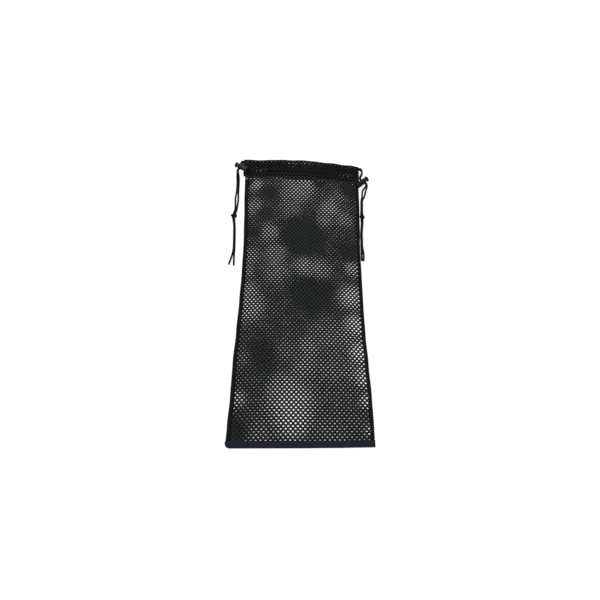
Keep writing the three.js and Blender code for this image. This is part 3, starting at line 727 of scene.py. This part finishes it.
# A cut end's roundness: distances from the end and reach, both as shares of the radius
CUT_END_SHARES = [(0.0, 0.72), (0.5, 0.93), (1.0, 1.0)]


def cord_radii(line, pressed_at):
    """Radius of the cord along a line: full where it is loose, less where it is pressed."""
    radii = np.full(len(line), LOOSE_CORD / 2)
    for place in pressed_at:
        away = np.linalg.norm(line - np.array(place), axis=1) / SWELL_LENGTH
        swell = (LOOSE_CORD - CORD_DIAMETER) / 2 * smooth_step(away - SWELL_FROM)
        radii = np.minimum(radii, CORD_DIAMETER / 2 + swell)
    return radii


def round_turns(count):
    return np.linspace(0, 2 * math.pi, count, endpoint=False)


def tube_faces(first, rings, sides, closed=False, flipped=False):
    """Faces round a tube whose rings of points follow each other, and over its ends."""
    faces = []
    for ring in range(rings if closed else rings - 1):
        low = first + ring * sides
        high = first + (ring + 1) % rings * sides
        for corner in range(sides):
            after = (corner + 1) % sides
            faces.append((low + corner, low + after, high + after, high + corner))
    if flipped:
        faces = [face[:1] + face[:0:-1] for face in faces]
    if not closed:
        last = first + (rings - 1) * sides
        ends = [tuple(range(first, first + sides))[::-1], tuple(range(last, last + sides))]
        faces += [end[::-1] for end in ends] if flipped else ends
    return faces


def cord_piece(name, line, radii, length, paint, closed=False):
    """A braided round cord along a line, with fused ends, or a closed loop of it."""
    count = len(line)
    if closed:
        ahead = np.roll(line, -1, axis=0) - np.roll(line, 1, axis=0)
    else:
        ahead = np.gradient(line, axis=0)
    ahead /= np.linalg.norm(ahead, axis=1, keepdims=True)
    side = Vector(ahead[0]).orthogonal().normalized()
    sides = []
    for direction in ahead:
        side = (side - Vector(direction) * side.dot(Vector(direction))).normalized()
        sides.append(side)
    sides = np.array(sides)
    ups = np.cross(ahead, sides)
    turns = round_turns(CORD_SIDES)
    run = np.linspace(0, length, count)
    twist = (math.pi * BRAID_LOBES * run / sizes().braid_pitch)[:, None]
    waves = np.cos(BRAID_LOBES * turns + twist) * np.cos(BRAID_LOBES * turns - twist)
    reach = radii[:, None] + BRAID_RELIEF * (waves - 0.5)
    if not closed:
        from_end = np.minimum(run, length - run) / radii
        reach *= np.interp(from_end, *zip(*CUT_END_SHARES))[:, None]
    circle = np.cos(turns)[:, None] * sides[:, None] + np.sin(turns)[:, None] * ups[:, None]
    points = line[:, None] + reach[..., None] * circle
    marks = np.stack(np.broadcast_arrays(turns / (2 * math.pi), run[:, None]), axis=-1)
    faces = tube_faces(0, count, CORD_SIDES, closed)
    return new_piece(name, points.reshape(-1, 3), faces, marks.reshape(-1, 2), "braid", paint)


# Points of a knot's line, and how far its plain curve reaches from its middle
KNOT_STEPS = 140
TREFOIL_REACH = 3.0


def tight_knot(x, y, width, length):
    """Points of a tight overhand knot, closed on itself, that rests on the surface."""
    turn = round_turns(KNOT_STEPS)
    across = (width - CORD_DIAMETER) / 2 / TREFOIL_REACH
    along = (length - CORD_DIAMETER) / 2 / TREFOIL_REACH
    lift = (KNOT_HEIGHT - CORD_DIAMETER) / 2
    return np.stack([
        x + across * (np.sin(turn) + 2 * np.sin(2 * turn)),
        y + along * (np.cos(turn) - 2 * np.cos(2 * turn)),
        KNOT_CORD / 2 + lift * (1 - np.sin(3 * turn)),
    ], axis=-1)


# Stitches: one short thread, copied along every seam

THREAD_SIDES = 6
# How much of a stitch's length its thread takes
THREAD_SHARE = 0.86
# One stitch: place along it as a share of its length, girth, and rise in radii
THREAD_PROFILE = [
    (-0.5, 0.35, -0.5), (-0.32, 0.95, 0.1), (0.0, 1.0, 0.35), (0.32, 0.95, 0.1), (0.5, 0.35, -0.5),
]


def stitches_piece(name, runs, paint):
    """Threads laid end to end along runs of points, each with the cloth's own upright."""
    size = sizes()
    radius = size.thread_diameter / 2
    turns = round_turns(THREAD_SIDES)
    shares, girths, rises = np.array(THREAD_PROFILE).T
    points = []
    faces = []
    for run, uprights in runs:
        length = float(np.linalg.norm(np.diff(run, axis=0), axis=1).sum())
        count = max(2, round(length / size.stitch_length))
        stops = (np.arange(count) + 0.5) / count * (len(run) - 1)
        rows = np.arange(len(run))
        middles = read_line(stops, rows, run)
        heads = read_line(stops, rows, uprights)
        for middle, way, upright in zip(middles, np.gradient(middles, axis=0), heads):
            way /= np.linalg.norm(way)
            upright /= np.linalg.norm(upright)
            centres = middle + np.outer(shares * size.stitch_length * THREAD_SHARE, way)
            centres += np.outer(rises * radius, upright)
            circle = np.outer(np.cos(turns), np.cross(way, upright))
            circle += np.outer(np.sin(turns), upright)
            faces += tube_faces(
                len(points) * len(shares) * THREAD_SIDES, len(shares), THREAD_SIDES, flipped=True)
            points.append(centres[:, None] + radius * girths[:, None, None] * circle)
    marks = np.stack(np.broadcast_arrays(turns / (2 * math.pi), shares[:, None]), axis=-1)
    marks = np.tile(marks.reshape(-1, 2), (len(points), 1))
    return new_piece(name, np.array(points).reshape(-1, 3), faces, marks, "thread", paint)


def stitch_run(surface, u, v, height):
    """A line of sewing on a surface, a little proud of it, with the uprights there."""
    top = lifted(surface, u, v, np.full(len(u), height))
    uprights = top - surface(u, v)
    return top, uprights / np.linalg.norm(uprights, axis=1, keepdims=True)


# Materials

class Wire:
    """A shader value that can be written in sums and products."""

    def __init__(self, paint, socket):
        self.paint = paint
        self.socket = socket

    def __add__(self, other):
        return self.paint.maths("ADD", self, other)

    def __sub__(self, other):
        return self.paint.maths("SUBTRACT", self, other)

    def __rsub__(self, other):
        return self.paint.maths("SUBTRACT", other, self)

    def __mul__(self, other):
        return self.paint.maths("MULTIPLY", self, other)

    __radd__ = __add__
    __rmul__ = __mul__


class Paint:
    """A material and its nodes, all made by one method."""

    def __init__(self, name, sheen=0.0, gloss=0.2):
        self.material = bpy.data.materials.new(name)
        self.material.use_nodes = True
        self.tree = self.material.node_tree
        self.surface = self.tree.nodes["Principled BSDF"]
        self.surface.inputs["Sheen Weight"].default_value = sheen
        self.surface.inputs["Sheen Roughness"].default_value = 0.5
        self.surface.inputs["Specular IOR Level"].default_value = gloss

    def put(self, socket, value):
        if isinstance(value, Wire):
            self.tree.links.new(value.socket, socket)
        else:
            socket.default_value = value

    def node(self, kind, inputs=None, output=0, **settings):
        node = self.tree.nodes.new(kind)
        for name, value in settings.items():
            setattr(node, name, value)
        for key, value in (inputs or {}).items():
            self.put(node.inputs[key], value)
        return Wire(self, node.outputs[output])

    def maths(self, operation, first, second=0.0):
        return self.node("ShaderNodeMath", {0: first, 1: second}, operation=operation)

    def flat(self, name):
        """The two ways of a piece's own flat map."""
        marks = self.node("ShaderNodeUVMap", uv_map=name)
        return [self.node("ShaderNodeSeparateXYZ", {0: marks}, output=way) for way in (0, 1)]

    def cloud(self, scale, detail=2.0):
        """Soft noise over the piece, so many times a metre."""
        place = self.node("ShaderNodeTexCoord", output=3)
        return self.node("ShaderNodeTexNoise", {"Vector": place, "Scale": scale, "Detail": detail})

    def clamped(self, value):
        return self.node("ShaderNodeClamp", {0: value})

    def wave(self, value, turns):
        return self.maths("SINE", value * (2 * math.pi * turns))

    def tint(self, share, dark, light):
        return self.node(
            "ShaderNodeMix", {0: share, 6: (*dark, 1), 7: (*light, 1)}, output=2, data_type="RGBA")

    def shaded(self, light, colour, dark, bright):
        """A colour between a darker and a brighter shade of it."""
        return self.tint(self.clamped(light), shade(colour, dark), shade(colour, bright))

    def finish(self, colour, roughness, height, depth, strength=0.6):
        bump = self.node(
            "ShaderNodeBump", {"Height": height, "Distance": depth, "Strength": strength})
        self.put(self.surface.inputs["Base Color"], colour)
        self.put(self.surface.inputs["Roughness"], roughness)
        self.put(self.surface.inputs["Normal"], bump)
        return self.material


def shade(colour, factor):
    return tuple(channel * factor for channel in colour)


# Yarns of the cloths: counts in a mesh and how sharply its two strands' yarns part,
# widths in the tape, and counts in the braid
YARNS_PER_STRAND = 9
LOOPS_PER_MESH = 7
STRAND_SHARPNESS = 9
TAPE_RIB = 0.0011
TAPE_WEFT = 0.0006
YARNS_PER_BUNDLE = 4


def knitted_net(name, colour, sheen=0.04, gloss=0.2):
    """Black knitted net: fine yarns that run along each slanting strand."""
    paint = Paint(name, sheen=sheen, gloss=gloss)
    across, along = paint.flat("net")
    rising = across + along
    falling = across - along
    off_rising, off_falling = [
        paint.maths("ABSOLUTE", paint.maths("FRACT", slant + 100.0) - 0.5)
        for slant in (rising, falling)
    ]
    on_rising = paint.clamped((off_falling - off_rising) * STRAND_SHARPNESS + 0.5)
    yarns = paint.wave(rising, YARNS_PER_STRAND) * on_rising
    yarns += paint.wave(falling, YARNS_PER_STRAND) * (1 - on_rising)
    loops = paint.wave(along, LOOPS_PER_MESH) * 0.5
    fuzz = paint.cloud(2600)
    wear = paint.cloud(16, 4.0)
    light = 0.05 + yarns * 0.16 + loops * 0.12 + fuzz * 0.45 + wear * 0.5
    tone = paint.shaded(light, colour, 0.55, 1.7)
    return paint.finish(tone, 0.62 + fuzz * 0.3, yarns + loops + fuzz * 1.5, 0.00012)


def folded_net(name, colour):
    """The same net where it lies in several layers; its darker colour is painted shade for the
    little light they leave in it.
    """
    return knitted_net(name, colour, sheen=0.01, gloss=0.1)


def woven_tape(name, colour):
    """Close twill tape: slanting ribs crossed by the weft, and a firm edge."""
    paint = Paint(name, sheen=0.04)
    across, along = paint.flat("tape")
    ribs = paint.wave(across + along, 1 / TAPE_RIB)
    weft = paint.wave(along, 1 / TAPE_WEFT) * 0.35
    fuzz = paint.cloud(2200)
    light = 0.15 + ribs * 0.2 + weft * 0.2 + fuzz * 0.3 + paint.cloud(22, 4.0) * 0.4
    tone = paint.shaded(light, colour, 0.6, 1.6)
    return paint.finish(tone, 0.7 + fuzz * 0.2, ribs + weft + fuzz, 0.00014)


def braided_cord(name, colour):
    """Tight round braid: bundles of yarn that pass over and under each other."""
    paint = Paint(name, gloss=0.08)
    around, along = paint.flat("braid")
    climb = along * (BRAID_LOBES / 2 / sizes().braid_pitch)
    left = around * BRAID_LOBES + climb
    right = around * BRAID_LOBES - climb
    over = paint.wave(left, 1) * paint.wave(right, 1)
    yarns = (paint.wave(left, YARNS_PER_BUNDLE) + paint.wave(right, YARNS_PER_BUNDLE)) * 0.3
    fuzz = paint.cloud(2400)
    tone = paint.shaded(0.3 + over * 0.25 + yarns * 0.2 + fuzz * 0.4, colour, 0.5, 1.6)
    return paint.finish(tone, 0.5 + fuzz * 0.3, over + yarns + fuzz * 0.6, 0.0001)


def moulded_plastic(name, colour):
    """Satin moulded plastic with fine grain and rubbed patches."""
    paint = Paint(name, gloss=0.22)
    grain = paint.cloud(1800, 3.0)
    rub = paint.cloud(140, 4.0)
    tone = paint.shaded(0.2 + grain * 0.25 + rub * 0.5, colour, 0.75, 1.5)
    return paint.finish(tone, 0.16 + rub * 0.2, grain + rub * 0.5, 0.00003, 0.4)


def twisted_thread(name, colour):
    """Twisted sewing thread: its plies run slantwise round each stitch."""
    paint = Paint(name, sheen=0.04)
    around, along = paint.flat("thread")
    twist = paint.wave(around + along * 3, 2)
    fuzz = paint.cloud(3000)
    tone = paint.shaded(0.4 + twist * 0.3 + fuzz * 0.3, colour, 0.6, 1.5)
    return paint.finish(tone, 0.55 + fuzz * 0.2, twist + fuzz, 0.00008)


def pale_floor():
    """Plain pale floor that glows a little, as a white sweep lit from behind does."""
    paint = Paint("pale floor")
    paint.put(paint.surface.inputs["Emission Color"], (1, 1, 1, 1))
    paint.surface.inputs["Emission Strength"].default_value = FLOOR_GLOW
    white = (FLOOR_WHITE,) * 3
    tone = paint.tint(paint.cloud(3), white, shade(white, FLOOR_UNEVENNESS))
    return paint.finish(tone, 0.9, paint.cloud(90), 0.0001, 0.1)


def kept_paint(name, maker, colour):
    """A material by name, made once however many pieces share it."""
    return bpy.data.materials.get(name) or maker(name, tuple(colour))


# Placing

def settle(piece, body, slot, *nodes):
    """Puts a finished piece on its body and hides the nodes it stands for; its slot is not used.
    """
    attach(piece, body)
    if nodes:
        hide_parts(*nodes)


class GEARBAG_OT_stage(bpy.types.Operator):
    """Set out the floor, the soft lights and the photograph's camera"""
    bl_idname = "gearbag.stage"
    bl_label = "Floor, lights and camera"

    def execute(self, context):
        bpy.ops.object.select_all(action="DESELECT")
        bpy.ops.mesh.primitive_plane_add(size=FLOOR_SIZE, location=(0, 0, 0))
        floor = context.object
        floor.name = "floor"
        floor.data.materials.append(pale_floor())
        bpy.ops.object.camera_add(location=CAMERA_PLACE, rotation=(CAMERA_TILT, 0, 0))
        camera = context.object
        camera.data.lens = CAMERA_LENS_MM
        camera.data.sensor_width = CAMERA_FILM_MM
        camera.data.clip_start = CAMERA_NEAR
        context.scene.camera = camera
        for name, place, width, power in LIGHTS:
            turn = (-Vector(place)).to_track_quat("-Z", "Y").to_euler()
            bpy.ops.object.light_add(type="AREA", location=place, rotation=turn)
            light = context.object
            light.name = name
            light.data.size = width
            light.data.energy = power
        world = bpy.data.worlds.new("white room")
        world.use_nodes = True
        glow = world.node_tree.nodes["Background"]
        glow.inputs["Color"].default_value = (1, 1, 1, 1)
        glow.inputs["Strength"].default_value = ROOM_GLOW
        context.scene.world = world
        context.scene.view_settings.view_transform = "Standard"
        return {"FINISHED"}


def lock_axis(heading, climb):
    """The way from a lock's head to its closed end."""
    turn = math.radians(heading)
    lift = math.radians(climb)
    level = math.cos(lift)
    return Vector((level * math.cos(turn), level * math.sin(turn), math.sin(lift)))


# Height, in cord thicknesses, below which a swollen cord is lifted to lie on the floor
FLOOR_LIFT_FROM = 3
# How far a cord's end reaches from the knot's edge to its middle, as a share
INTO_KNOT = 0.35
# The stretches inside the casings: share of the casing's width, and their points
HIDDEN_CORD_SHARE = 0.94
HIDDEN_CORD_POINTS = 24
HIDDEN_CORD_SPACING = 1.5 * RING_SPACING


class GEARBAG_OT_cords(bpy.types.Operator):
    """Lay the drawcords, through the casings and the locks to the knots and cut ends"""
    bl_idname = "gearbag.cords"
    bl_label = "Drawcords and knots"

    def execute(self, context):
        paint = kept_paint("braided cord", braided_cord, colours().cord)
        knots = {}
        for side, knot in KNOTS.items():
            line = tight_knot(*knot)
            around = float(np.linalg.norm(line - np.roll(line, 1, axis=0), axis=1).sum())
            radii = np.full(len(line), KNOT_CORD / 2)
            knots[side] = cord_piece(f"{side}_tied_knot", line, radii, around, paint, closed=True)
            settle(knots[side], "bag", "cord", f"{side}_knot")
        for name, route_mm in CORD_ROUTES.items():
            side = name.split("_")[0]
            is_tail = name.endswith("tail")
            route = [tuple(way / MM_PER_METRE for way in point) for point in route_mm]
            line, length = evenly(centripetal(self.into_knot(side, is_tail, route)), RING_SPACING)
            tip, heading, climb = LOCKS[side]
            slot = Vector(tip) + lock_axis(heading, climb) * (SLOT_START + CORD_DIAMETER / 2)
            radii = cord_radii(line, [slot] if is_tail else [slot, route[0]])
            low = smooth_step(FLOOR_LIFT_FROM - line[:, 2] / CORD_DIAMETER)
            line[:, 2] += low * (radii - CORD_DIAMETER / 2)
            piece = cord_piece(name.replace("_", "_cord_", 1), line, radii, length, paint)
            settle(piece, "bag", "cord", name)
        for name, base_z in (("front_cord", front_casing_z), ("back_cord", back_casing_z)):
            self.hidden_cord(name, base_z, paint)
        return {"FINISHED"}

    def into_knot(self, side, is_tail, route):
        """A route with its end at the knot drawn a little way into it."""
        middle = Vector((*KNOTS[side][:2], KNOT_HEIGHT / 2))
        reach = tuple(Vector(route[0 if is_tail else -1]).lerp(middle, INTO_KNOT))
        return [reach, *route] if is_tail else [*route, reach]

    def lock_pieces(self, side):
        return [bpy.data.objects[f"{side}_lock_{part}"] for part in ("barrel", "plunger")]

    def hidden_cord(self, name, base_z, paint):
        middle = (CASING_LEFT + CASING_RIGHT) / 2
        half = (CASING_RIGHT - CASING_LEFT) / 2
        share = np.linspace(-HIDDEN_CORD_SHARE, HIDDEN_CORD_SHARE, HIDDEN_CORD_POINTS)
        x = middle + half * share
        z = base_z(x) + CLOTH + CORD_DIAMETER / 2 + GAP
        line = np.stack([x, mouth_y(x) - CORD_DROP, z], axis=-1)
        line, length = evenly(line, HIDDEN_CORD_SPACING)
        radii = np.full(len(line), CORD_DIAMETER / 2)
        settle(cord_piece(f"{name}_in_casing", line, radii, length, paint), "bag", "cord", name)


# Turned solids: sides, how wide an edge is rounded, and the angles above which it is
# rounded and below which it is shaded smooth
TURNED_SIDES = 48
EASED_EDGE = 0.00025
EASED_FROM = math.radians(50)
SMOOTH_BELOW = math.radians(35)


def turned_solid(name, profile):
    """A round solid about Z, drawn out ring by ring from a disc along a profile."""
    radius, height = profile[0]
    bpy.ops.object.select_all(action="DESELECT")
    bpy.ops.mesh.primitive_circle_add(
        vertices=TURNED_SIDES, radius=radius, fill_type="NGON", location=(0, 0, height))
    solid = bpy.context.object
    solid.name = name
    bpy.ops.object.transform_apply(location=True, rotation=False, scale=False)
    bpy.ops.object.mode_set(mode="EDIT")
    bpy.ops.mesh.select_all(action="SELECT")
    for next_radius, next_height in profile[1:]:
        bpy.ops.mesh.extrude_region_move(
            TRANSFORM_OT_translate={"value": (0, 0, next_height - height)})
        scale = next_radius / radius
        bpy.ops.transform.resize(value=(scale, scale, 1), center_override=(0, 0, next_height))
        radius, height = next_radius, next_height
    bpy.ops.mesh.select_all(action="SELECT")
    bpy.ops.mesh.normals_make_consistent(inside=False)
    bpy.ops.object.mode_set(mode="OBJECT")
    return solid


def cut_cross_slot(solid, start):
    """Cuts the cords' slot straight through, rounds its edges and smooths the solid."""
    bpy.ops.object.select_all(action="DESELECT")
    bpy.ops.mesh.primitive_cube_add(size=1, location=(0, 0, start + SLOT_LENGTH / 2))
    cutter = bpy.context.object
    cutter.scale = (SLOT_HEIGHT, 4 * BARREL_RADIUS, SLOT_LENGTH)
    bpy.ops.object.transform_apply(location=True, rotation=False, scale=True)
    cutter.select_set(False)
    bpy.context.view_layer.objects.active = solid
    solid.select_set(True)
    cut = solid.modifiers.new("cross slot", "BOOLEAN")
    cut.operation = "DIFFERENCE"
    cut.object = cutter
    bpy.ops.object.modifier_apply(modifier=cut.name)
    bpy.data.objects.remove(cutter, do_unlink=True)
    ease = solid.modifiers.new("eased edges", "BEVEL")
    ease.width = EASED_EDGE
    ease.segments = 2
    ease.limit_method = "ANGLE"
    ease.angle_limit = EASED_FROM
    bpy.ops.object.modifier_apply(modifier=ease.name)
    bpy.ops.object.shade_smooth_by_angle(angle=SMOOTH_BELOW)


# Grooves of a barrel's grip: middles, depth, and half widths at their top and floor
GROOVES = (0.0318, 0.0297, 0.0276, 0.0255)
GROOVE_DEPTH = 0.00045
GROOVE_TOP = 0.0006
GROOVE_FLOOR = 0.0002

# Profiles of a lock, each a list of radius and distance from the head's tip: a barrel's
# closed end, and a button from its stem's end over the neck to the hollow of its head
BARREL_END = [(0.0042, LOCK_LENGTH), (0.0054, 0.0357), (0.0062, 0.0351), (BARREL_RADIUS, 0.0343)]
PLUNGER = [
    (0.0042, STEM_END), (STEM_RADIUS, STEM_END - 0.0005), (STEM_RADIUS, 0.0056),
    (0.00495, 0.0046), (0.0055, 0.0035), (0.0063, 0.0025), (0.0069, 0.0019),
    (HEAD_RADIUS, 0.0014), (0.00695, 0.0008), (0.0065, 0.0003), (0.0057, 0.00003),
    (0.0046, 0.0), (0.0040, 0.0002), (0.0026, 0.0006), (0.0008, 0.0008),
]


def barrel_profile():
    """A barrel from its closed end over the grooves into its bore."""
    profile = list(BARREL_END)
    for middle in GROOVES:
        for depth, away in (
            (0, GROOVE_TOP), (GROOVE_DEPTH, GROOVE_FLOOR),
            (GROOVE_DEPTH, -GROOVE_FLOOR), (0, -GROOVE_TOP),
        ):
            profile.append((BARREL_RADIUS - depth, middle + away))
    return profile + [
        (BARREL_RADIUS - inset, BARREL_MOUTH + rise)
        for inset, rise in ((0, 0.0006), (0.0002, 0.00015), (0.0006, 0))
    ] + [
        (BORE_RADIUS + 0.0003, BARREL_MOUTH), (BORE_RADIUS, BARREL_MOUTH + 0.0004),
        (BORE_RADIUS, BORE_END),
    ]


class GEARBAG_OT_locks(bpy.types.Operator):
    """Turn the two cord locks: grooved barrels and their flared push buttons"""
    bl_idname = "gearbag.locks"
    bl_label = "Cord locks"

    def execute(self, context):
        paint = kept_paint("moulded plastic", moulded_plastic, colours().plastic)
        for side, (tip, heading, climb) in LOCKS.items():
            turn = math.radians(heading)
            axis = lock_axis(heading, climb)
            across = Vector((-math.sin(turn), math.cos(turn), 0))
            up = -across.cross(axis)
            stand = Matrix((up, -across, axis)).transposed().to_4x4()
            stand.translation = tip
            barrel = turned_solid(f"{side}_lock_barrel", barrel_profile())
            cut_cross_slot(barrel, SLOT_START)
            plunger = turned_solid(f"{side}_lock_plunger", PLUNGER)
            cut_cross_slot(plunger, SLOT_START - BUTTON_STROKE)
            for piece, body, node in (
                (barrel, "bag", f"{side}_lock_body"),
                (plunger, f"{side}_button", f"{side}_lock_button"),
            ):
                piece.data.transform(stand)
                piece.data.materials.append(paint)
                settle(piece, body, "lock_plastic", node)
        return {"FINISHED"}


# How much of its flat length a panel takes across the bag, how much of a net is strand
# and not hole, and how much finer the meshes are where the seams draw them in
NET_TAKE_IN = 0.97
NET_COVER = 0.62
SEAM_DRAWN_IN = 0.5

# Lines of sewing: the seams' and the hem's as shares of the fold, the casings' as
# distances from the net's edge, with the shares between which they run and their points
SEAM_STITCH_SHARE = 0.86
HEM_STITCH_SHARES = (0.90, 0.72)
CASING_STITCHES = (0.003, CASING_GRIP + 0.006, CASING_HEIGHT - 0.012)
STITCH_FROM = 0.003
HEM_STITCH_FROM = 0.03
STITCH_TO = 0.997
SEAM_STITCH_POINTS = 160
STITCH_POINTS = 90

# Painted shade of the folded net, its colour as a share of the panels', how far its meshes
# lean round each casing, in meshes, and the hem tape's steps round its fold and across the bag
FOLDED_NET_PAINTED_SHADE = 0.5
CASING_SKEWS = {"front_casing": 0.5, "back_casing": -0.6}
HEM_STEPS = (26, 150)


def folded_piece(name, node, surface, across, along, hole_diameter, drawn_in=1.0):
    """A strip of net folded round the nets' edges, in the place of a node."""
    # The folded net's colour is the panels' darkened: painted shade of its stacked layers.
    paint = kept_paint("folded net", folded_net, shade(colours().net, FOLDED_NET_PAINTED_SHADE))
    piece = net_piece(name, surface, across, along, hole_diameter, paint, drawn_in)
    settle(piece, "bag", "folded_net", node)


def thread_paint():
    return kept_paint("twisted thread", twisted_thread, colours().thread)


class GEARBAG_OT_nets(bpy.types.Operator):
    """Hang the two net panels between the hem, the seams and the casings"""
    bl_idname = "gearbag.nets"
    bl_label = "Net panels"

    def execute(self, context):
        paint = kept_paint("knitted net", knitted_net, colours().net)
        width = (BAG_WIDTH - 2 * CLOTH - 2 * GAP) * NET_TAKE_IN
        length = BAG_LENGTH - NET_FOOT - CASING_HEIGHT + CASING_GRIP
        length += foot_y(0.0) + mouth_y(0.0)
        for name, surface, nodes in (
            ("front_net", front_net, ("front_panel", "front_panel_top")),
            ("back_net", back_net, ("back_panel",)),
        ):
            piece = net_piece(name, surface, width, length, sizes().hole_diameter, paint)
            settle(piece, "bag", "net", *nodes)
            NET_COVER * width * length
        return {"FINISHED"}


class GEARBAG_OT_seams(bpy.types.Operator):
    """Fold and sew the net strips round the two long sides"""
    bl_idname = "gearbag.seams"
    bl_label = "Side seams"

    def execute(self, context):
        length = BAG_LENGTH - HEM_HEIGHT - CASING_HEIGHT - SEAM_STOP
        v = np.linspace(STITCH_FROM, STITCH_TO, SEAM_STITCH_POINTS)
        runs = []
        for name, side_x, width, inwards in (
            ("left_seam", left_x, LEFT_SEAM_WIDTH, 1),
            ("right_seam", right_x, RIGHT_SEAM_WIDTH, -1),
        ):
            surface, girth = seam_surface(side_x, width, inwards)
            folded_piece(
                f"{name}_strip", name, surface, girth, length, sizes().seam_hole_diameter,
                drawn_in=SEAM_DRAWN_IN)
            share = np.full_like(v, SEAM_STITCH_SHARE if inwards < 0 else 1 - SEAM_STITCH_SHARE)
            runs.append(stitch_run(surface, share, v, sizes().strand_thickness / 2))
        settle(stitches_piece("seam_stitches", runs, thread_paint()), "bag", "folded_net")
        return {"FINISHED"}


class GEARBAG_OT_casings(bpy.types.Operator):
    """Fold and sew the two cord casings at the mouth"""
    bl_idname = "gearbag.casings"
    bl_label = "Mouth casings"

    def execute(self, context):
        width = CASING_RIGHT - CASING_LEFT
        u = np.linspace(STITCH_FROM, STITCH_TO, STITCH_POINTS)
        for name, base_z in (("front_casing", front_casing_z), ("back_casing", back_casing_z)):
            surface, girth = casing_surface(base_z, CASING_SKEWS[name])
            folded_piece(
                f"{name}_channel", name, surface, width, girth, sizes().folded_hole_diameter)
            if name == "front_casing":
                runs = [
                    stitch_run(
                        surface, u, np.full_like(u, inset / girth), sizes().strand_thickness / 2)
                    for inset in CASING_STITCHES
                ]
        settle(stitches_piece("casing_stitches", runs, thread_paint()), "bag", "folded_net")
        return {"FINISHED"}


class GEARBAG_OT_hem(bpy.types.Operator):
    """Fold and sew the woven tape over the foot edge"""
    bl_idname = "gearbag.hem"
    bl_label = "Foot hem"

    def execute(self, context):
        paint = kept_paint("woven tape", woven_tape, colours().tape)
        girth = path_length(folded_path(HEM_HEIGHT, STRIP_LOW, STRIP_HIGH))
        piece = cloth_piece(
            "hem_tape", hem_surface, *HEM_STEPS, sizes().tape_thickness, (girth, BAG_WIDTH), paint)
        settle(piece, "bag", "hem_tape", "bottom_hem")
        v = np.linspace(HEM_STITCH_FROM, STITCH_TO, STITCH_POINTS)
        runs = [
            stitch_run(hem_surface, np.full_like(v, share), v, sizes().tape_thickness / 2)
            for share in HEM_STITCH_SHARES
        ]
        settle(stitches_piece("hem_stitches", runs, thread_paint()), "bag", "hem_tape")
        return {"FINISHED"}


OPERATORS = (
    GEARBAG_OT_stage, GEARBAG_OT_locks, GEARBAG_OT_cords, GEARBAG_OT_nets,
    GEARBAG_OT_seams, GEARBAG_OT_casings, GEARBAG_OT_hem,
)


class GEARBAG_PT_panel(bpy.types.Panel):
    """Sizes, colours and steps of the gear bag"""
    bl_idname = "GEARBAG_PT_panel"
    bl_label = "Net Gear Bag"
    bl_space_type = "VIEW_3D"
    bl_region_type = "UI"
    bl_category = "Gear Bag"

    def draw(self, context):
        for group in (context.scene.gear_bag_sizes, context.scene.gear_bag_colours):
            box = self.layout.box()
            for name in group.__annotations__:
                box.prop(group, name)
        for operator in OPERATORS:
            self.layout.operator(operator.bl_idname)


CLASSES = (GearBagSizes, GearBagColours, *OPERATORS, GEARBAG_PT_panel)


def register():
    for kind in CLASSES:
        bpy.utils.register_class(kind)
    bpy.types.Scene.gear_bag_sizes = bpy.props.PointerProperty(type=GearBagSizes)
    bpy.types.Scene.gear_bag_colours = bpy.props.PointerProperty(type=GearBagColours)


def unregister():
    del bpy.types.Scene.gear_bag_colours
    del bpy.types.Scene.gear_bag_sizes
    for kind in reversed(CLASSES):
        bpy.utils.unregister_class(kind)


def main():
    register()
    for operator in OPERATORS:
        group, name = operator.bl_idname.split(".")
        getattr(getattr(bpy.ops, group), name)()


if __name__ == "__main__":
    main()
